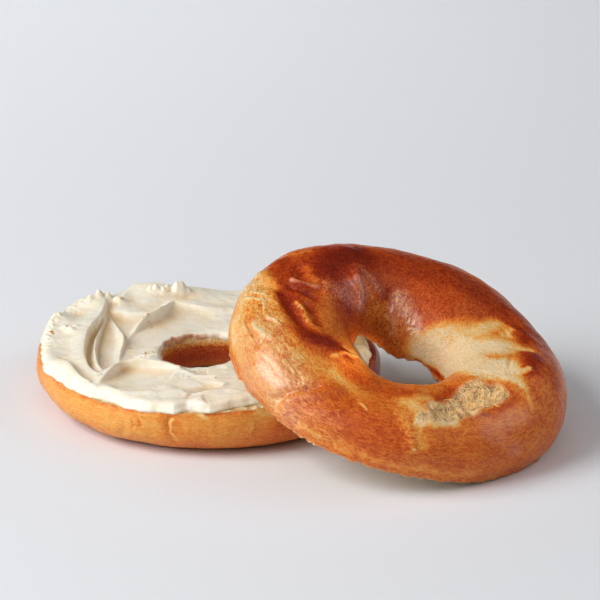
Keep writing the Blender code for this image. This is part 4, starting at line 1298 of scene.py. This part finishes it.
def crumb_tree(where, material):
    """Uneven crumbs scattered where the named value says."""
    tree = tree_with(where, ("Crumbs per Area", "Size", "Unevenness"))
    ground = given(tree, "Geometry")
    chance = ground.make(
        "GeometryNodeInputNamedAttribute", {"data_type": "FLOAT"}, {"Name": where}
    )
    chance = chance * given(tree, "Crumbs per Area")
    spots = ground.make(
        "GeometryNodeDistributePointsOnFaces", {}, {"Mesh": ground, "Density": chance, "Seed": 11}
    )
    ball = ground.make("GeometryNodeMeshIcoSphere", {}, {"Radius": 1.0, "Subdivisions": 2})
    size = given(tree, "Size") * random_between(tree, 0.5, 1.6, 2)
    flat = size.make("ShaderNodeCombineXYZ", {}, {"X": size, "Y": size * 0.8, "Z": size * 0.6})
    laid = spots.make(
        "GeometryNodeInstanceOnPoints",
        {},
        {"Points": spots, "Instance": ball, "Rotation": spots.beside("Rotation"), "Scale": flat},
    )
    real = laid.make("GeometryNodeRealizeInstances", {}, {"Geometry": laid})
    place = real.make("GeometryNodeInputPosition", {}, {})
    uneven = place.make(
        "ShaderNodeTexNoise", {}, {"Vector": place, "Scale": 1.0 / (0.7 * MM), "Detail": 1.0}, 1
    )
    uneven = uneven.make(
        "ShaderNodeVectorMath", {"operation": "SUBTRACT"}, {0: uneven, 1: (0.5, 0.5, 0.5)}
    )
    reach = given(tree, "Size") * given(tree, "Unevenness") * 4.0
    uneven = uneven.make(
        "ShaderNodeVectorMath", {"operation": "SCALE"}, {0: uneven, "Scale": reach}
    )
    shaped = real.make("GeometryNodeSetPosition", {}, {"Geometry": real, "Offset": uneven})
    ended(tree, shaped, material)
    return tree


def crumb_finish(name, pale, brown):
    """Crumb of bread with bits of crust."""
    material = bpy.data.materials.new(name)
    material.use_nodes = True
    tree = material.node_tree
    shader = tree.nodes["Principled BSDF"]
    place = Wire(tree).make("ShaderNodeTexCoord", {}, {}, 3)
    crusty = place.grain(2.4 * MM, 2.0, 0.6).above(0.42, 0.58)
    tree.links.new(crusty.blend(pale, brown).socket, shader.inputs["Base Color"])
    dull = place.grain(0.5 * MM, 2.0, 0.6) * 0.3 + 0.5
    tree.links.new(dull.socket, shader.inputs["Roughness"])
    return material


def crumbs(name, ground, per_area, material, slot):
    """Crumbs on a piece, where its points say."""
    sizes = {"Crumbs per Area": per_area, "Size": CRUMB_SIZE, "Unevenness": CRUMB_UNEVEN}
    piece = grown(name, crumb_tree("crumbs", material), ground, sizes)
    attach(piece, "root")
    return piece


crust_crumb = crumb_finish("crust crumbs", (0.86, 0.60, 0.30, 1.0), (0.60, 0.25, 0.06, 1.0))
bread_crumb = crumb_finish("bread crumbs", (0.88, 0.66, 0.38, 1.0), (0.78, 0.36, 0.09, 1.0))
crumbs("crumbs_on_cheese", spread, 0.7e6, crust_crumb, "bottom_crust")
crumbs("crumbs_on_lower_rim", lower_half, 0.5e6, bread_crumb, "bottom_crust")
crumbs("crumbs_on_upper_rim", upper_half, 0.5e6, bread_crumb, "top_crust")


# Table, light and camera
# A seamless white table under one broad window at the left, with soft light from above and
# from the right, seen a little from above.

CAMERA_PITCH = math.radians(20.7)
CAMERA_DISTANCE = 1.1
CAMERA_LENS = 201.0
CAMERA_SHIFT_RIGHT = 29.98 * MM
CAMERA_SHIFT_UP = 30.87 * MM


def table():
    """A broad white table top."""
    data = bpy.data.meshes.new("table")
    side = 6.0
    corners = [(-side, -side, 0.0), (side, -side, 0.0), (side, side, 0.0), (-side, side, 0.0)]
    data.from_pydata(corners, [], [(0, 1, 2, 3)])
    material = bpy.data.materials.new("white table")
    material.use_nodes = True
    tree = material.node_tree
    shader = tree.nodes["Principled BSDF"]
    place = Wire(tree).make("ShaderNodeTexCoord", {}, {}, 3)
    shade = place.grain(0.5, 2.0, 0.5)
    colour = shade.blend((0.838, 0.862, 0.900, 1.0), (0.853, 0.876, 0.915, 1.0))
    tree.links.new(colour.socket, shader.inputs["Base Color"])
    shader.inputs["Roughness"].default_value = 0.55
    shader.inputs["Specular IOR Level"].default_value = 0.05
    data.materials.append(material)
    top = bpy.data.objects.new("table", data)
    bpy.context.scene.collection.objects.link(top)
    return top


def soft_light(name, place, target, width, height, power, colour):
    """A broad soft light that faces a point."""
    data = bpy.data.lights.new(name, "AREA")
    data.shape = "RECTANGLE"
    data.size, data.size_y = width, height
    data.energy = power
    data.color = colour
    light = bpy.data.objects.new(name, data)
    light.location = place
    facing = Vector(target) - Vector(place)
    light.rotation_euler = facing.to_track_quat("-Z", "Y").to_euler()
    bpy.context.scene.collection.objects.link(light)
    return light


table()
soft_light("window", (-0.94, -0.38, 0.74), (0.0, 0.0, 0.02), 0.9, 0.9, 16.6, (1.0, 0.985, 0.97))
soft_light("overhead", (-0.1, -0.95, 1.35), (0.0, 0.0, 0.0), 2.0, 2.0, 6.9, (0.98, 0.99, 1.0))
soft_light("reflector", (0.96, 0.05, 0.72), (0.03, 0.0, 0.02), 0.8, 0.8, 3.2, (1.0, 0.96, 0.93))
lamp = bpy.data.lights.new("lamp", "SPOT")
lamp.energy = 66.0
lamp.color = (1.0, 0.84, 0.60)
lamp.spot_size = math.radians(1.0)
lamp.spot_blend = 1.0
lamp.shadow_soft_size = 0.003
snooted_lamp = bpy.data.objects.new("lamp", lamp)
snooted_lamp.location = (0.002, -0.990, 0.388)
snooted_lamp.rotation_euler = (
    (Vector((0.0190, 0.0085, 0.0170)) - snooted_lamp.location).to_track_quat("-Z", "Y").to_euler()
)
bpy.context.scene.collection.objects.link(snooted_lamp)
backdrop = soft_light("backdrop", (-0.45, 0.7, 1.05), (-0.45, 0.7, 0.0), 1.3, 0.7, 1.62, (0.97, 0.98, 1.0))
backdrop.data.spread = math.radians(60.0)

world = bpy.data.worlds.new("studio")
world.use_nodes = True
bpy.context.scene.world = world
sky = world.node_tree.nodes["Background"]
sky.inputs["Color"].default_value = (0.90, 0.92, 0.96, 1.0)
sky.inputs["Strength"].default_value = 0.04

forward = Vector((0.0, math.cos(CAMERA_PITCH), -math.sin(CAMERA_PITCH)))
up = Vector((0.0, math.sin(CAMERA_PITCH), math.cos(CAMERA_PITCH)))
right = Vector((1.0, 0.0, 0.0))
middle = Vector((LOWER_X, LOWER_Y, 0.0))
eye = middle - CAMERA_DISTANCE * forward + CAMERA_SHIFT_RIGHT * right + CAMERA_SHIFT_UP * up
turned = Matrix((right, up, -forward)).transposed().to_4x4()
camera_data = bpy.data.cameras.new("camera")
camera_data.lens = CAMERA_LENS
camera_data.sensor_width = 36.0
camera = bpy.data.objects.new("camera", camera_data)
camera.matrix_world = Matrix.Translation(eye) @ turned
bpy.context.scene.collection.objects.link(camera)
bpy.context.scene.camera = camera
bpy.context.scene.view_settings.view_transform = "Standard"

bpy.context.view_layer.update()
